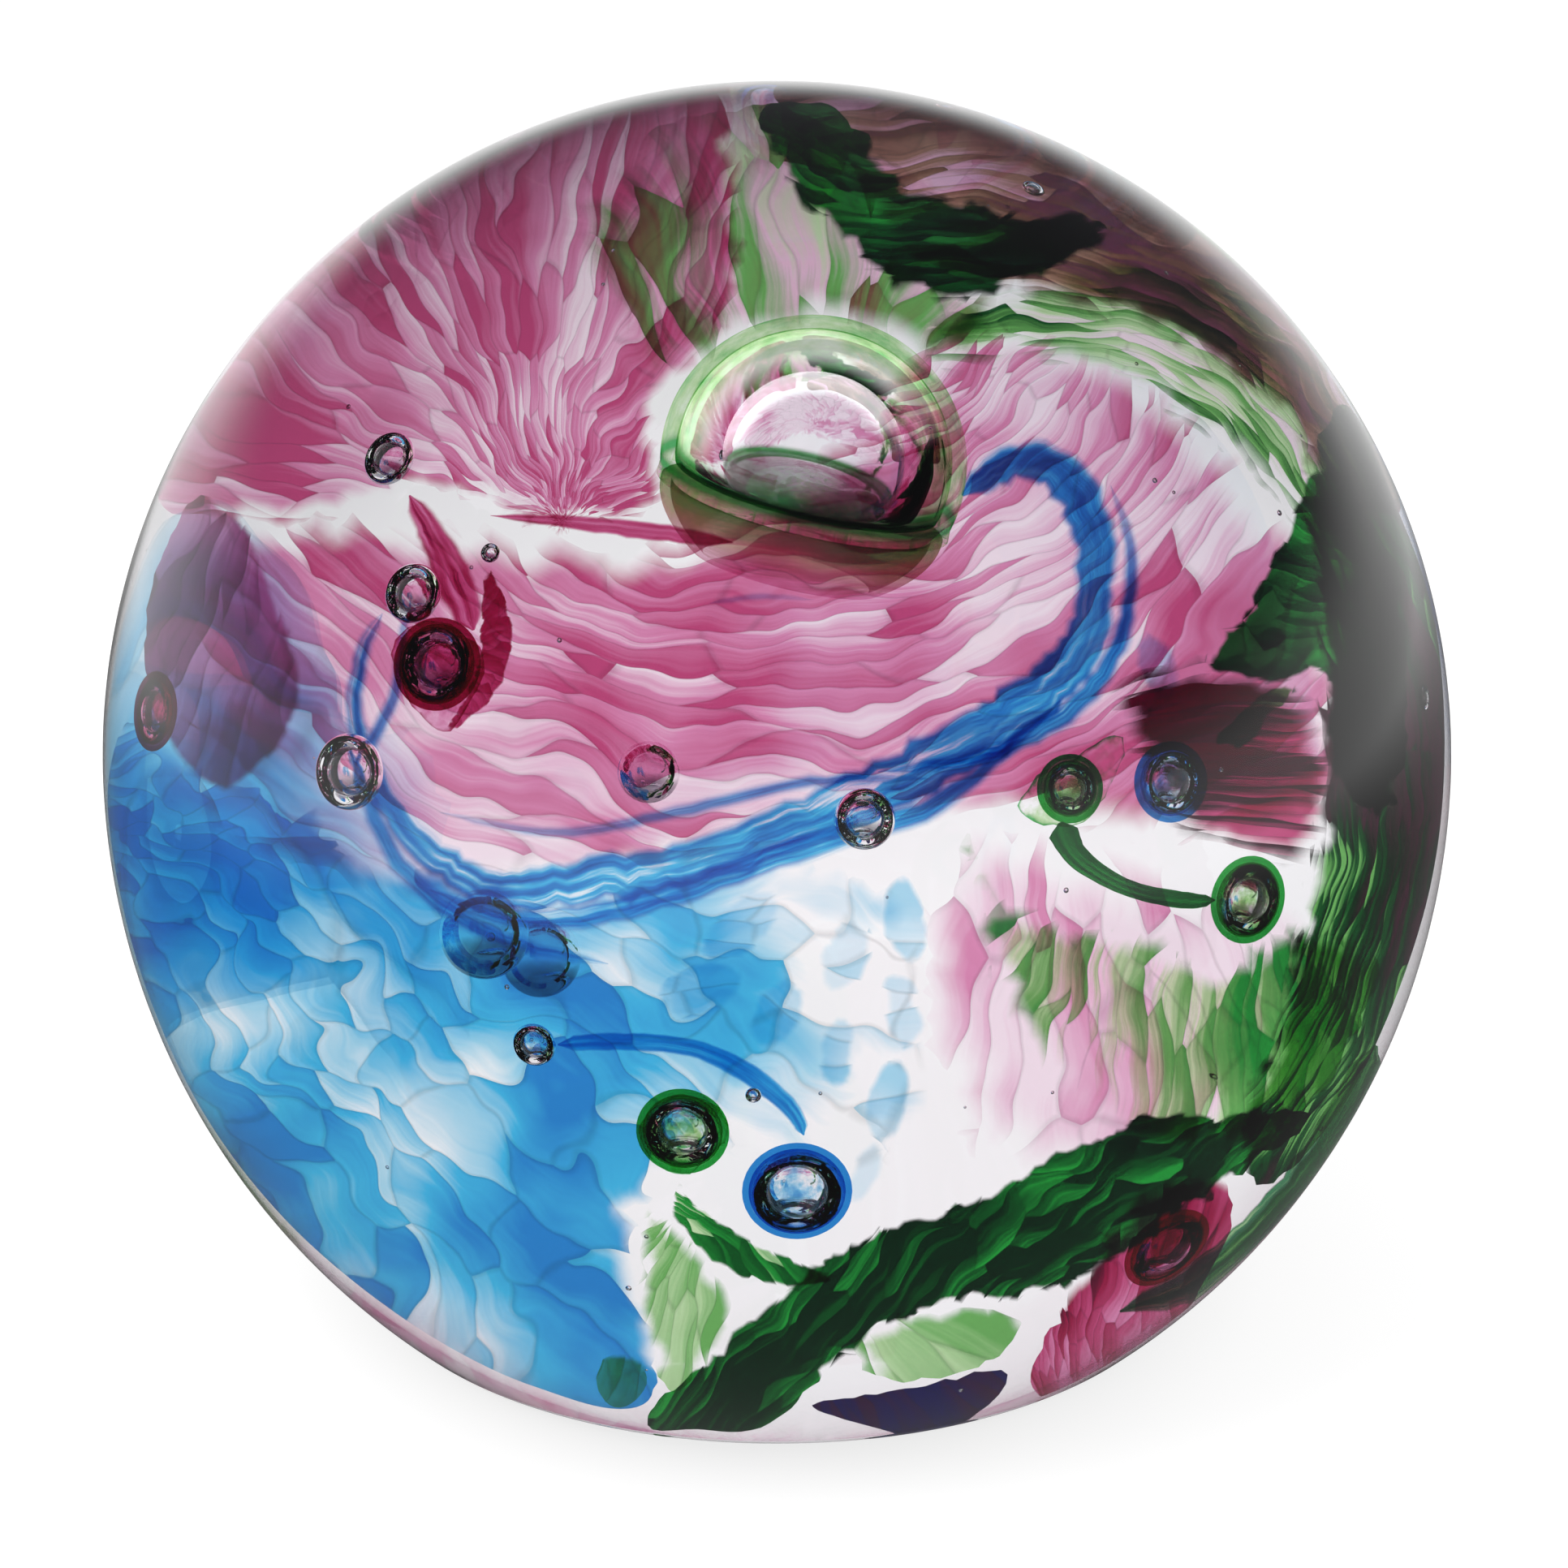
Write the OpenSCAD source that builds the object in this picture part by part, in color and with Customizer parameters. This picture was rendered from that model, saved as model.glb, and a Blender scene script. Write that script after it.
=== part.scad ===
// Art-glass paperweight: a solid crystal ball with a ground flat foot. A core of clear glass carries
// an inner coat, a middle coat and a casing. Rolled sheets, trails and feathers of coloured glass and
// pricked air bubbles are sealed in the inner and the middle coat. Nothing on it moves.
// The origin is the centre of the foot, +Z is up, and the front of the design faces -Y.

/* [Ball] */
// Greatest radius of the ball
ball_r = 40; // [38:0.5:42]
// Height of the widest point above the foot
belly_z = 33; // [32:0.5:34]
// Radius of the arc that runs from the widest point down to the foot
skirt_r = 44; // [43:0.5:46]
// Width of the polished bevel round the foot
bevel = 0.8; // [0.4:0.1:1.2]

/* [Coats of clear glass] */
// Thickness of the outer coat, over all the colour
outer_coat = 4.5; // [4:0.1:4.8]
// Depth of the inner coat below the ball's surface
inner_depth = 9.7; // [9.66:0.02:9.74]
// Depth of the core below the ball's surface
core_depth = 13; // [12.5:0.1:14]
// Clear glass between the foot and the middle coat
middle_floor = 1.6; // [1.2:0.2:2]
// Clear glass between the foot and the inner coat
inner_floor = 3; // [2.6:0.2:3.4]
// Clear glass between the foot and the core
core_floor = 9; // [8:0.5:10]

/* [Coloured glass] */
// Thickness of a rolled sheet or a drawn trail
sheet_t = 0.4; // [0.2:0.1:0.4]
// Thickness of the green rope
rope_t = 1; // [0.6:0.1:1.1]
// Thickness of the coloured skin round an air bubble
skin_t = 0.4; // [0.3:0.1:0.5]

/* [Hidden] */

glass_index = 1.5;      // refractive index of the crystal
look_down = 20;         // the design is composed for an eye this far above the horizontal, in degrees
eye_far = 240;          // and this far from the middle of the ball
fine = 96;              // facets round a coat
belly = [0, 0, belly_z];
foot_r = sqrt(skirt_r * skirt_r - belly_z * belly_z) - (skirt_r - ball_r);
bevel_slope = 0.32;     // rise of the bevel for each millimetre outwards
bevel_reach = 3;        // how far the bevel's cutter reaches past the foot
cutter_low = 16;        // how far a sheet's cutter reaches in, and its whole height
cutter_height = 40;
skirt_drop = 3;         // height of the crown bubble's skirt

// ---------- where a thing lies ----------

function unit(v) = v / norm(v);

// The place that the eye sees u millimetres right of and v millimetres above the middle of the ball,
// when the thing lies depth millimetres below the surface. The ball's curved face bends the view.
function seen(u, v, depth) =
    let (
        k = eye_far / sqrt(eye_far * eye_far - ball_r * ball_r),
        eye = [0, 0, eye_far],
        look = unit([u * k, v * k, 0] - eye),
        b = eye * look,
        p = eye - (b + sqrt(max(0, b * b - eye * eye + ball_r * ball_r))) * look,
        face = p / ball_r,
        c = -(look * face),
        bent = look / glass_index + (c / glass_index - sqrt(1 - (1 - c * c) / pow(glass_index, 2))) * face,
        g = p * bent,
        r = ball_r - depth,
        q = p - (g + sqrt(max(0, g * g - p * p + r * r))) * bent
    )
    belly + [q[0], q[1] * sin(look_down) - q[2] * cos(look_down),
             q[1] * cos(look_down) + q[2] * sin(look_down)];

// Angles of the outward direction at the place p: round the ball, and up from level.
function round_angle(p) = atan2(p[1], p[0]);
function up_angle(p) = atan2(p[2] - belly_z, norm([p[0], p[1]]));

// Puts its children at p with +Z outwards, +Y up the ball and +X level.
module facing(p) {
    translate(p) rotate([0, 0, round_angle(p) + 90]) rotate([90 - up_angle(p), 0, 0]) children();
}

// The place p in the plane that facing(c) makes.
function flat_xy(p, c) =
    let (a = round_angle(c) + 90, e = up_angle(c), d = p - c)
    [d * [cos(a), sin(a), 0],
     d * [-sin(a) * sin(e), cos(a) * sin(e), cos(e)]];

// A closed curve through points, and an open one, each smoothed with n steps from point to point.
function bend(a, b, c, d, f) =
    0.5 * (2 * b + (c - a) * f + (2 * a - 5 * b + 4 * c - d) * f * f
           + (3 * b - a - 3 * c + d) * f * f * f);
function loop_curve(p, n) =
    let (m = len(p))
    [for (i = [0 : m - 1]) for (j = [0 : n - 1])
        bend(p[(i + m - 1) % m], p[i], p[(i + 1) % m], p[(i + 2) % m], j / n)];
function open_curve(p, n) =
    let (m = len(p) - 1)
    [for (i = [0 : m * n])
        let (k = min(floor(i / n), m - 1))
        bend(p[max(k - 1, 0)], p[k], p[k + 1], p[min(k + 2, m)], i / n - k)];

// The two edges of a trail along points [u, v, half width], as one outline.
function trail_outline(route) =
    let (
        c = open_curve(route, 3),
        m = len(c) - 1,
        side = [for (i = [0 : m])
            let (d = c[min(i + 1, m)] - c[max(i - 1, 0)])
            c[i][2] * unit([-d[1], d[0]])]
    )
    concat([for (i = [0 : m]) [c[i][0], c[i][1]] + side[i]],
           [for (i = [m : -1 : 0]) [c[i][0], c[i][1]] - side[i]]);

function middle(list) = [for (k = [0 : 2]) sum([for (p = list) p[k]]) / len(list)];
function sum(list, i = 0) = i < len(list) ? list[i] + sum(list, i + 1) : 0;

// ---------- clear glass ----------

// Half of the section of a coat whose surface lies inset below the ball's, above floor_z.
module coat_section(inset, floor_z) {
    intersection() {
        translate([0, belly_z]) circle(r = ball_r - inset, $fn = fine);
        translate([0, belly_z]) square([ball_r, ball_r]);
    }
    intersection() {
        translate([ball_r - skirt_r, belly_z]) circle(r = skirt_r - inset, $fn = fine);
        translate([0, floor_z]) square([ball_r, belly_z - floor_z]);
    }
}

module coat(inset, floor_z) {
    rotate_extrude($fn = fine) coat_section(inset, floor_z);
}

module foot_bevel() {
    rotate_extrude($fn = fine)
        polygon([[foot_r - bevel, 0], [foot_r - bevel, -1], [foot_r + bevel_reach, -1],
                 [foot_r + bevel_reach, bevel_slope * (bevel + bevel_reach)]]);
}

// ---------- air ----------

// Clear bubbles in the middle coat: [u, v, depth, radius]
clear_bubbles = [
    [-23, 17.6, 6.6, 1.4],
    [-21.6, 9.6, 6.8, 1.5],
    [-25.4, -1, 7, 1.9],
    [5.2, -3.8, 6.8, 1.5],
    [-14.4, -17.2, 6.4, 1.1],
    [-17, 12, 5.8, 0.5],
    [15.2, 33.6, 6, 0.6],
    [38.4, 3.4, 5.8, 0.7],
    [-1.4, -20.2, 5.8, 0.4]
];

// Bubbles deep in the core: [u, v, depth, radius]
deep_bubbles = [
    [-7.6, -1, 22, 1.4],
    [-17.4, -10.6, 22, 2],
    [-14, -12, 30, 1.6]
];

module bubble(b, grow = 0) {
    translate(seen(b[0], b[1], b[2])) sphere(r = b[3] + grow, $fn = 48);
}

// Bubbles with a coloured skin: [u, v, depth, radius]
ruby_bubble = [-20.2, 5.4, 7.2, 1.9];
ruby_pod = [-37, 2.6, 6.9, 1.6];
ruby_berry = [23, -29.4, 8, 2];
green_bud = [-5.6, -22.4, 7, 1.9];
green_bead = [28, -8.6, 7.2, 1.8];
thorn_bubble = [17.4, -2, 7.2, 1.3];
blue_collar = [1.2, -26, 7.6, 2.3];
blue_bead = [23.4, -1.6, 7.2, 1.6];
skinned = [ruby_bubble, ruby_pod, ruby_berry, green_bud, green_bead, thorn_bubble, blue_collar, blue_bead];

module skin(b) {
    difference() {
        bubble(b, skin_t);
        bubble(b);
    }
}

// The crown bubble is a flat-bottomed dome of air, tipped a little to the left.
crown_at = seen(2.2, 17.6, 18.4);
crown_r = 6.2;
crown_wall = 0.8;
crown_floor = -1.6;
crown_tip = [-11, 14, 0];

module crown_frame() {
    translate(crown_at) rotate(crown_tip) children();
}

module dome(r, low) {
    rotate_extrude($fn = 72)
        intersection() {
            circle(r = r, $fn = 72);
            translate([0, low]) square([r, r - low]);
        }
}

module crown_outside() {
    crown_frame() dome(crown_r + crown_wall, crown_floor - crown_wall);
}

// ---------- coloured glass ----------

// A sheet of coloured glass t thick that lies depth below the surface and has the given outline.
// It flows round the skinned or bare bubbles in the list round.
module inlay(outline, depth, t = sheet_t, turn = 0, round = []) {
    places = [for (p = outline) seen(p[0], p[1], depth)];
    c = middle(places);
    low = (depth > inner_depth ? inner_floor : middle_floor) + sheet_t;
    rotate([0, 0, turn]) difference() {
        intersection() {
            coat(depth, low);
            facing(c) translate([0, 0, -cutter_low])
                linear_extrude(height = cutter_height) polygon([for (p = places) flat_xy(p, c)]);
        }
        coat(depth + t, low - 2 * sheet_t);
        for (b = round) bubble(b, skin_t);
    }
}

function oval(u, v, a, b, lean) =
    [for (i = [0 : 13])
        let (w = i * 360 / 14, x = a * cos(w), y = b * sin(w))
        [u + x * cos(lean) - y * sin(lean), v + x * sin(lean) + y * cos(lean)]];

// Rose
rose_fan_edge = [[-31.4, 23], [-26.2, 28.6], [-19.6, 33.6], [-12.4, 37], [-4, 38.8], [-2, 31], [-3, 25],
                 [-7, 20.4], [-7, 15], [-14, 13.4], [-20, 16], [-27, 14], [-35.6, 14]];
rose_sheet_edge = [[-34, 12], [-24, 14], [-14, 13], [-5, 13], [5, 20], [10, 26], [18, 24], [25, 20],
                   [31, 13], [33.6, 5], [33, -3], [24, -5], [12, -4], [4, -5], [-8, -7], [-18, -9],
                   [-28, -7], [-35, -2]];
rose_veil_edge = [[9, -6], [14, -4.4], [22, -6], [30, -8], [34, -12], [32, -19], [28, -24], [20, -26],
                  [13, -25], [10, -20], [9, -13]];
rear_rose_edge = [[-30, 12], [-22, 22], [-10, 27], [6, 27], [20, 23], [29, 13], [29, 2], [18, -5],
                  [6, -1], [-8, -3], [-20, -7], [-29, 0]];
crown_petals_edge = [[-11, 34], [-6, 37.6], [1, 38.4], [5, 35.6], [7, 31], [13, 27], [11, 23.4], [4, 25],
                     [-2, 24.4], [-8, 21.6], [-10, 26], [-12, 30]];
plum_cloud_edge = [[3, 39], [10.6, 38], [18.6, 34.6], [25.6, 30], [31.6, 24], [35.6, 16.6], [32, 16],
                   [28, 21], [22, 25], [14, 27], [7, 29], [4, 34]];
maroon_patch_edge = [[20, 4.4], [26, 5.6], [32, 3.4], [33.4, -3], [31, -7], [26, -6], [22, -3]];

// Green
green_band_edge = [[-1, 38.4], [0, 35], [2, 32], [6, 28.4], [11, 27], [16, 28.4], [20, 31.4], [15, 32.4],
                   [9, 33.4], [6, 36], [3, 38.4]];
green_arc_edge = [[8, 24.6], [12, 27.4], [18, 29.6], [25, 28.6], [31, 24], [35, 17], [37, 10], [34, 8],
                  [30.4, 14], [26, 18.6], [20, 22], [14, 23.4], [10.4, 22.4]];
green_mantle_edge = [[33.6, 20.8], [36.8, 14.6], [39, 8], [39.6, 0], [38.8, -7.6], [36.4, -15], [33, -21.4],
                     [28.6, -25.6], [27, -22], [29.6, -16], [31, -9], [32, 0], [31.6, 9], [31, 15]];
green_wedge_edge = [[25.4, 5.6], [28, 9], [30, 13], [32.6, 17.4], [36, 12], [37.4, 4], [36, -4], [33, -1],
                    [32.4, 4.6], [29, 4.2]];
green_shard_edge = [[26, 1], [29, 4], [31, 4], [29, 2], [28, 0.6]];
green_feathers_edge = [[10.6, -4.6], [14, -8.4], [20, -10], [26, -12], [32, -9.6], [35.6, -12],
                       [33.6, -18], [29, -23], [23, -23.4], [17, -20], [13, -13]];
green_sash_route = [[20, -33, 0.5], [25, -30.8, 0.9], [29.6, -27, 1.1], [33, -22.4, 1.1],
                    [35.4, -17.4, 0.8]];
green_rope_edge = [[-7.4, -38.6], [-4.6, -39.2], [-0.4, -39], [4, -35.4], [9, -33], [15, -32], [20, -30],
                   [25, -26.2], [31, -22.2], [31, -21], [26, -21.2], [21, -21.8], [16.6, -23.6],
                   [11.6, -26.4], [7, -27.8], [2, -30.2], [-2.6, -34.4]];
green_leaf_edge = [[-5.8, -25.4], [-5, -26.6], [-2, -28.6], [1, -30], [3.4, -31], [1, -31.6], [-2, -31],
                   [-4.6, -29.4], [-6.2, -27]];
pale_petal_left = [[-7.6, -26.6], [-5, -29], [-3, -32], [-3, -35], [-6, -37.6], [-8, -34], [-8, -30]];
pale_petal_right = [[5, -34.4], [9, -33], [14, -33], [13, -35.6], [8, -37], [5, -36.4]];
green_drop_edge = oval(-9, -36.8, 1.4, 1.5, 0);
green_stem_route = [[16.8, -4, 1], [17.8, -6, 0.7], [20.6, -7.8, 0.5], [24, -8.6, 0.5], [26, -8.6, 0.3]];
green_thorn_edge = [[14.4, -3.4], [15.4, -1.2], [17.6, -0.2], [20, 1.2], [20.6, 0.4], [19.6, -2], [18.2, -4],
                    [16.4, -4.2]];
rear_sweep_edge = [[-35, 14], [-31, 21], [-24, 27], [-15, 30], [-17, 25], [-25, 18], [-30, 8], [-31, -4],
                   [-27, -15], [-20, -24], [-27, -21], [-33, -11], [-35.4, 0]];

// Blue
blue_loop_route = [[11, 15.4, 1], [14, 17.4, 1.3], [17, 16.6, 1.6], [18.7, 13.4, 1.5], [18.8, 9, 1.4],
                   [17.4, 5.4, 1.7], [13.6, 2.2, 1.9], [9.4, -0.4, 1.9], [3, -3.4, 1.8], [-5, -6.4, 1.7],
                   [-11, -7.4, 1.6], [-16.4, -8, 1.4], [-20.4, -6, 1.2], [-23, -3, 1], [-25, 2, 0.8],
                   [-24.6, 6, 0.7], [-23.4, 8.4, 0.4]];
blue_field_edge = [[-39.2, -3], [-37, 1], [-31, -1], [-23, -5.6], [-14, -7.6], [-6, -6.6], [2, -6.6], [8, -9],
                   [9.4, -15], [8, -22], [3, -25], [-3, -24], [-8, -27], [-7.4, -32], [-7.4, -38.4],
                   [-13.6, -36.8], [-21, -33.2], [-28, -27.6], [-33.6, -20.4], [-37.4, -12]];
// Oval petals: [u, v, half width, half length, lean]
blue_petal_list = [[-2, -10, 1.6, 3, -50], [-4.6, -14, 1.7, 2.8, -70], [0, -15.4, 1.6, 2.4, -30],
                   [4, -12, 1.5, 2.6, -20], [7.6, -9.8, 1.3, 2.6, 10], [3.6, -17.6, 1.2, 2.2, -5],
                   [6.6, -20.6, 1.3, 2.6, -10], [7.4, -15.2, 1.3, 2.4, 10], [5.2, -25, 1.2, 2.4, -20],
                   [22.6, 5.2, 1.5, 2.6, 20]];
blue_stem_route = [[-13, -17.2, 0.5], [-9.6, -17, 0.6], [-5, -17.4, 0.6], [-1.6, -19, 0.7], [0.8, -21, 0.6],
                   [1.6, -22.6, 0.4]];
rear_blue_edge = [[28, -9], [30, -16], [26, -23], [18, -30], [11, -32], [13, -24], [16, -16], [21, -11]];
indigo_shadow_edge = [[2, -38.4], [7, -37.6], [13, -36.4], [12, -38], [7, -39.4]];

// Ruby
ruby_fold_edge = [[-34.6, 15], [-32, 14.4], [-30, 11], [-28.4, 6], [-28.4, 2], [-31, -1.6], [-34, -2],
                  [-37, 2], [-37.4, 8], [-36.4, 12]];
ruby_ribbon_route = [[-21.8, 15.4, 0.6], [-20.4, 13, 1], [-19, 10, 1.3], [-18, 7.4, 0.9]];
ruby_streak_route = [[-17, 14.2, 0.2], [-12, 13.8, 0.5], [-7, 13.2, 0.6], [-2.6, 12.6, 0.4]];
ruby_leaf_edge = [[-17.2, 11.2], [-16, 9], [-15.6, 7], [-16.2, 4.4], [-17.6, 2.6], [-19.6, 1.4], [-18.2, 4],
                  [-17.6, 6.4], [-17.6, 9]];
ruby_flare_edge = [[14.6, -37], [16.6, -33], [19, -29], [21.6, -25.6], [26, -25], [26.6, -28], [23.6, -32.4],
                   [18.6, -36.4]];

module rose_fan() {
    color("palevioletred") inlay(loop_curve(rose_fan_edge, 2), 7.2, round = [clear_bubbles[0]]);
}
module rose_sheet() { color("pink") inlay(loop_curve(rose_sheet_edge, 2), 9.8); }
module rose_veil() { color("pink") inlay(loop_curve(rose_veil_edge, 2), 12.1); }
module rear_rose_sheet() { color("pink") inlay(loop_curve(rear_rose_edge, 2), 12.1, turn = 180); }
module crown_petals() { color("olivedrab") inlay(loop_curve(crown_petals_edge, 2), 8.4); }
module plum_cloud() { color("indianred") inlay(loop_curve(plum_cloud_edge, 2), 9.2); }
module maroon_patch() { color("maroon") inlay(loop_curve(maroon_patch_edge, 2), 11.5); }
module green_band() { color("darkgreen") inlay(loop_curve(green_band_edge, 2), 6.4); }
module green_arc() { color("yellowgreen") inlay(loop_curve(green_arc_edge, 2), 7.4); }
module green_mantle() {
    color("darkgreen") inlay(loop_curve(green_mantle_edge, 2), 6.4, round = [clear_bubbles[7]]);
}
module green_wedge() { color("forestgreen") inlay(loop_curve(green_wedge_edge, 2), 8.2); }
module green_shard() { color("green") inlay(green_shard_edge, 9); }
module green_feathers() {
    color("lightgreen") inlay(loop_curve(green_feathers_edge, 2), 8.4, round = [green_bead]);
}
module green_sash() { color("green") inlay(trail_outline(green_sash_route), 7.9, round = [ruby_berry]); }
module green_rope() { color("darkgreen") inlay(loop_curve(green_rope_edge, 2), 5.2, rope_t); }
module green_leaf() { color("green") inlay(loop_curve(green_leaf_edge, 2), 6.8, round = [green_bud]); }
module green_pale_petals() {
    color("palegreen") {
        inlay(loop_curve(pale_petal_left, 2), 8);
        inlay(loop_curve(pale_petal_right, 2), 8);
        inlay(green_drop_edge, 8);
    }
}
module green_stem() {
    color("green") inlay(trail_outline(green_stem_route), 6.6, round = [thorn_bubble, green_bead]);
}
module green_thorn() {
    color("darkgreen") {
        skin(thorn_bubble);
        inlay(loop_curve(green_thorn_edge, 2), 7.4, round = [thorn_bubble]);
    }
}
module rear_green_sweep() { color("seagreen") inlay(loop_curve(rear_sweep_edge, 2), 6.9, turn = 180); }
module blue_loop() { color("dodgerblue") inlay(trail_outline(blue_loop_route), 9.2); }
module blue_field() { color("deepskyblue") inlay(loop_curve(blue_field_edge, 2), 10.9); }
module blue_petals() {
    color("lightblue") for (p = blue_petal_list) inlay(oval(p[0], p[1], p[2], p[3], p[4]), 10.3);
}
module blue_stem() { color("dodgerblue") inlay(trail_outline(blue_stem_route), 7.8, round = [blue_collar]); }
module rear_blue_field() { color("deepskyblue") inlay(loop_curve(rear_blue_edge, 2), 8.2, turn = 180); }
module indigo_shadow() { color("indigo") inlay(loop_curve(indigo_shadow_edge, 2), 8.6); }
module ruby_fold() { color("crimson") inlay(loop_curve(ruby_fold_edge, 2), 9.1); }
module ruby_ribbon() { color("crimson") inlay(trail_outline(ruby_ribbon_route), 8.8, round = [ruby_bubble]); }
module ruby_streak() { color("crimson") inlay(trail_outline(ruby_streak_route), 8.8); }
module ruby_leaf() { color("crimson") inlay(loop_curve(ruby_leaf_edge, 2), 7.4, round = [ruby_bubble]); }
module ruby_flare() { color("crimson") inlay(loop_curve(ruby_flare_edge, 2), 7.4, round = [ruby_berry]); }

// The sheets, trails and chips that lie in the middle coat, by number.
middle_count = 25;
module middle_sheet(i) {
    if (i == 0) ruby_fold();
    if (i == 1) ruby_ribbon();
    if (i == 2) ruby_streak();
    if (i == 3) ruby_leaf();
    if (i == 4) ruby_flare();
    if (i == 5) rose_fan();
    if (i == 6) crown_petals();
    if (i == 7) plum_cloud();
    if (i == 8) green_band();
    if (i == 9) green_arc();
    if (i == 10) green_mantle();
    if (i == 11) green_wedge();
    if (i == 12) green_shard();
    if (i == 13) green_feathers();
    if (i == 14) green_sash();
    if (i == 15) green_rope();
    if (i == 16) green_leaf();
    if (i == 17) green_pale_petals();
    if (i == 18) green_stem();
    if (i == 19) green_thorn();
    if (i == 20) rear_green_sweep();
    if (i == 21) blue_loop();
    if (i == 22) blue_stem();
    if (i == 23) rear_blue_field();
    if (i == 24) indigo_shadow();
}

// The middle coat with its bubbles and its first n coloured pieces cut out, one after another.
module middle_less(n) {
    difference() {
        if (n == 0) coat(outer_coat, middle_floor);
        else middle_less(n - 1);
        if (n == 0) {
            coat(inner_depth, inner_floor);
            for (b = clear_bubbles) bubble(b);
            for (b = skinned) bubble(b, skin_t);
        }
        else middle_sheet(n - 1);
    }
}

// What lies in the inner coat.
module inner_sheets() {
    rose_sheet();
    rose_veil();
    rear_rose_sheet();
    maroon_patch();
    blue_field();
    blue_petals();
}

// ---------- skins of the bubbles ----------

module crown_bubble_skin() {
    color("green") difference() {
        crown_outside();
        crown_frame() dome(crown_r, crown_floor);
    }
}
// A flared ring of glass that hangs from the crown bubble.
module crown_skirt() {
    top_z = crown_floor - crown_wall;
    color("rosybrown") crown_frame() rotate_extrude($fn = 72)
        polygon([[crown_r - 0.2, top_z], [crown_r + 0.4, top_z], [crown_r - 0.6, top_z - skirt_drop],
                 [crown_r - 1.2, top_z - skirt_drop]]);
}
module ruby_bubble_skin() { color("crimson") skin(ruby_bubble); }
module ruby_pod_skin() { color("crimson") skin(ruby_pod); }
module ruby_berry_skin() { color("crimson") skin(ruby_berry); }
module green_bud_skin() { color("green") skin(green_bud); }
module green_bead_skin() { color("green") skin(green_bead); }
module blue_collar_skin() { color("dodgerblue") skin(blue_collar); }
module blue_bead_skin() { color("dodgerblue") skin(blue_bead); }

// ---------- the casing, the two coats and the core ----------

module outer_casing() {
    color("whitesmoke") difference() {
        coat(0, 0);
        coat(outer_coat, middle_floor);
        foot_bevel();
    }
}

module middle_gather() { color("aliceblue") middle_less(middle_count); }

module inner_gather() {
    color("aliceblue") difference() {
        coat(inner_depth, inner_floor);
        coat(core_depth, core_floor);
        inner_sheets();
        for (b = [ruby_berry, blue_collar]) bubble(b, skin_t);
        crown_outside();
        crown_skirt();
    }
}

module crystal_core() {
    color("white") difference() {
        coat(core_depth, core_floor);
        for (b = deep_bubbles) bubble(b);
        crown_outside();
        crown_skirt();
    }
}

outer_casing();
middle_gather();
inner_gather();
crystal_core();
rose_fan();
rose_sheet();
rose_veil();
rear_rose_sheet();
crown_petals();
plum_cloud();
maroon_patch();
green_band();
green_arc();
green_mantle();
green_wedge();
green_shard();
green_feathers();
green_sash();
green_rope();
green_leaf();
green_pale_petals();
green_stem();
green_thorn();
rear_green_sweep();
blue_loop();
blue_field();
blue_petals();
blue_stem();
rear_blue_field();
indigo_shadow();
ruby_fold();
ruby_ribbon();
ruby_streak();
ruby_leaf();
ruby_flare();
crown_bubble_skin();
crown_skirt();
ruby_bubble_skin();
ruby_pod_skin();
ruby_berry_skin();
green_bud_skin();
green_bead_skin();
blue_collar_skin();
blue_bead_skin();
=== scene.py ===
"""Finishes the glass paperweight: clear crystal with its air bubbles, and the coloured glass sealed in it."""

import math

import bpy
import numpy as np
from mathutils import Matrix, Vector, geometry, noise


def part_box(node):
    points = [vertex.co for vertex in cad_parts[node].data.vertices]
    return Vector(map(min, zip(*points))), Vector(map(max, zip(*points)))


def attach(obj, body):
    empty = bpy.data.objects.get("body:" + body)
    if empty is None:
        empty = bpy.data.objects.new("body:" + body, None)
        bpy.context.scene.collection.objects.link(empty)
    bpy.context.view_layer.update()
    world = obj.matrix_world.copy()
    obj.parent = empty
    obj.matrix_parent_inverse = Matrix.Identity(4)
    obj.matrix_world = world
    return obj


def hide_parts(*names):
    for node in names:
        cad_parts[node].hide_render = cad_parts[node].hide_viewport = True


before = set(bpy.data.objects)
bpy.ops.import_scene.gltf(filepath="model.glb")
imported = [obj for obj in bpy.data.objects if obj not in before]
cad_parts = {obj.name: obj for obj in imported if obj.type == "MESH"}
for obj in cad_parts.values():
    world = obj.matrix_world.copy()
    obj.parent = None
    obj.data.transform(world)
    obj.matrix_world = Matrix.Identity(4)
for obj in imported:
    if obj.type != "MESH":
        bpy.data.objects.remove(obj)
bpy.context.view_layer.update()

bl_info = {
    "name": "Art-glass paperweight",
    "version": (1, 0, 0),
    "blender": (4, 5, 0),
    "location": "View3D > Sidebar > Paperweight",
    "description": "Builds a crystal ball paperweight with sealed veils, trails and bubbles",
    "category": "Add Mesh",
}

MM = 0.001

# ---------- the ball's measures, in millimetres, from the frame ----------

BALL_LOW, BALL_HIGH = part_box("outer_casing")
BALL_R = (BALL_HIGH.x - BALL_LOW.x) / 2 / MM
BELLY_Z = BALL_HIGH.z / MM - BALL_R
SKIRT_R = 44.0
BEVEL = 0.8
# Radians up the skirt from the foot to the top of the bevel
BEVEL_TURN = 0.03
BELLY = np.array([0.0, 0.0, BELLY_Z])
LOOK_DOWN = math.radians(20)
EYE_FAR = 240.0
DESIGN_INDEX = 1.5
SHEET_T = 0.4
SKIN_T = 0.4
# Sheets that run out at the rim: from here on, from the middle of the view, they don't thin out
FULL_FROM = 36.6
# Torn edges grow calm over the last CALM_OVER before CALM_AT
CALM_AT = 39.4
CALM_OVER = 2.5
TRAIL_STEPS = 8
TRAIL_SIDES = 14
# Faces round a small bubble, and from its bottom to its top
BUBBLE_AROUND = 40
BUBBLE_RINGS = 22
CROWN_AROUND = 96
CROWN_VOID_AROUND = 72
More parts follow.
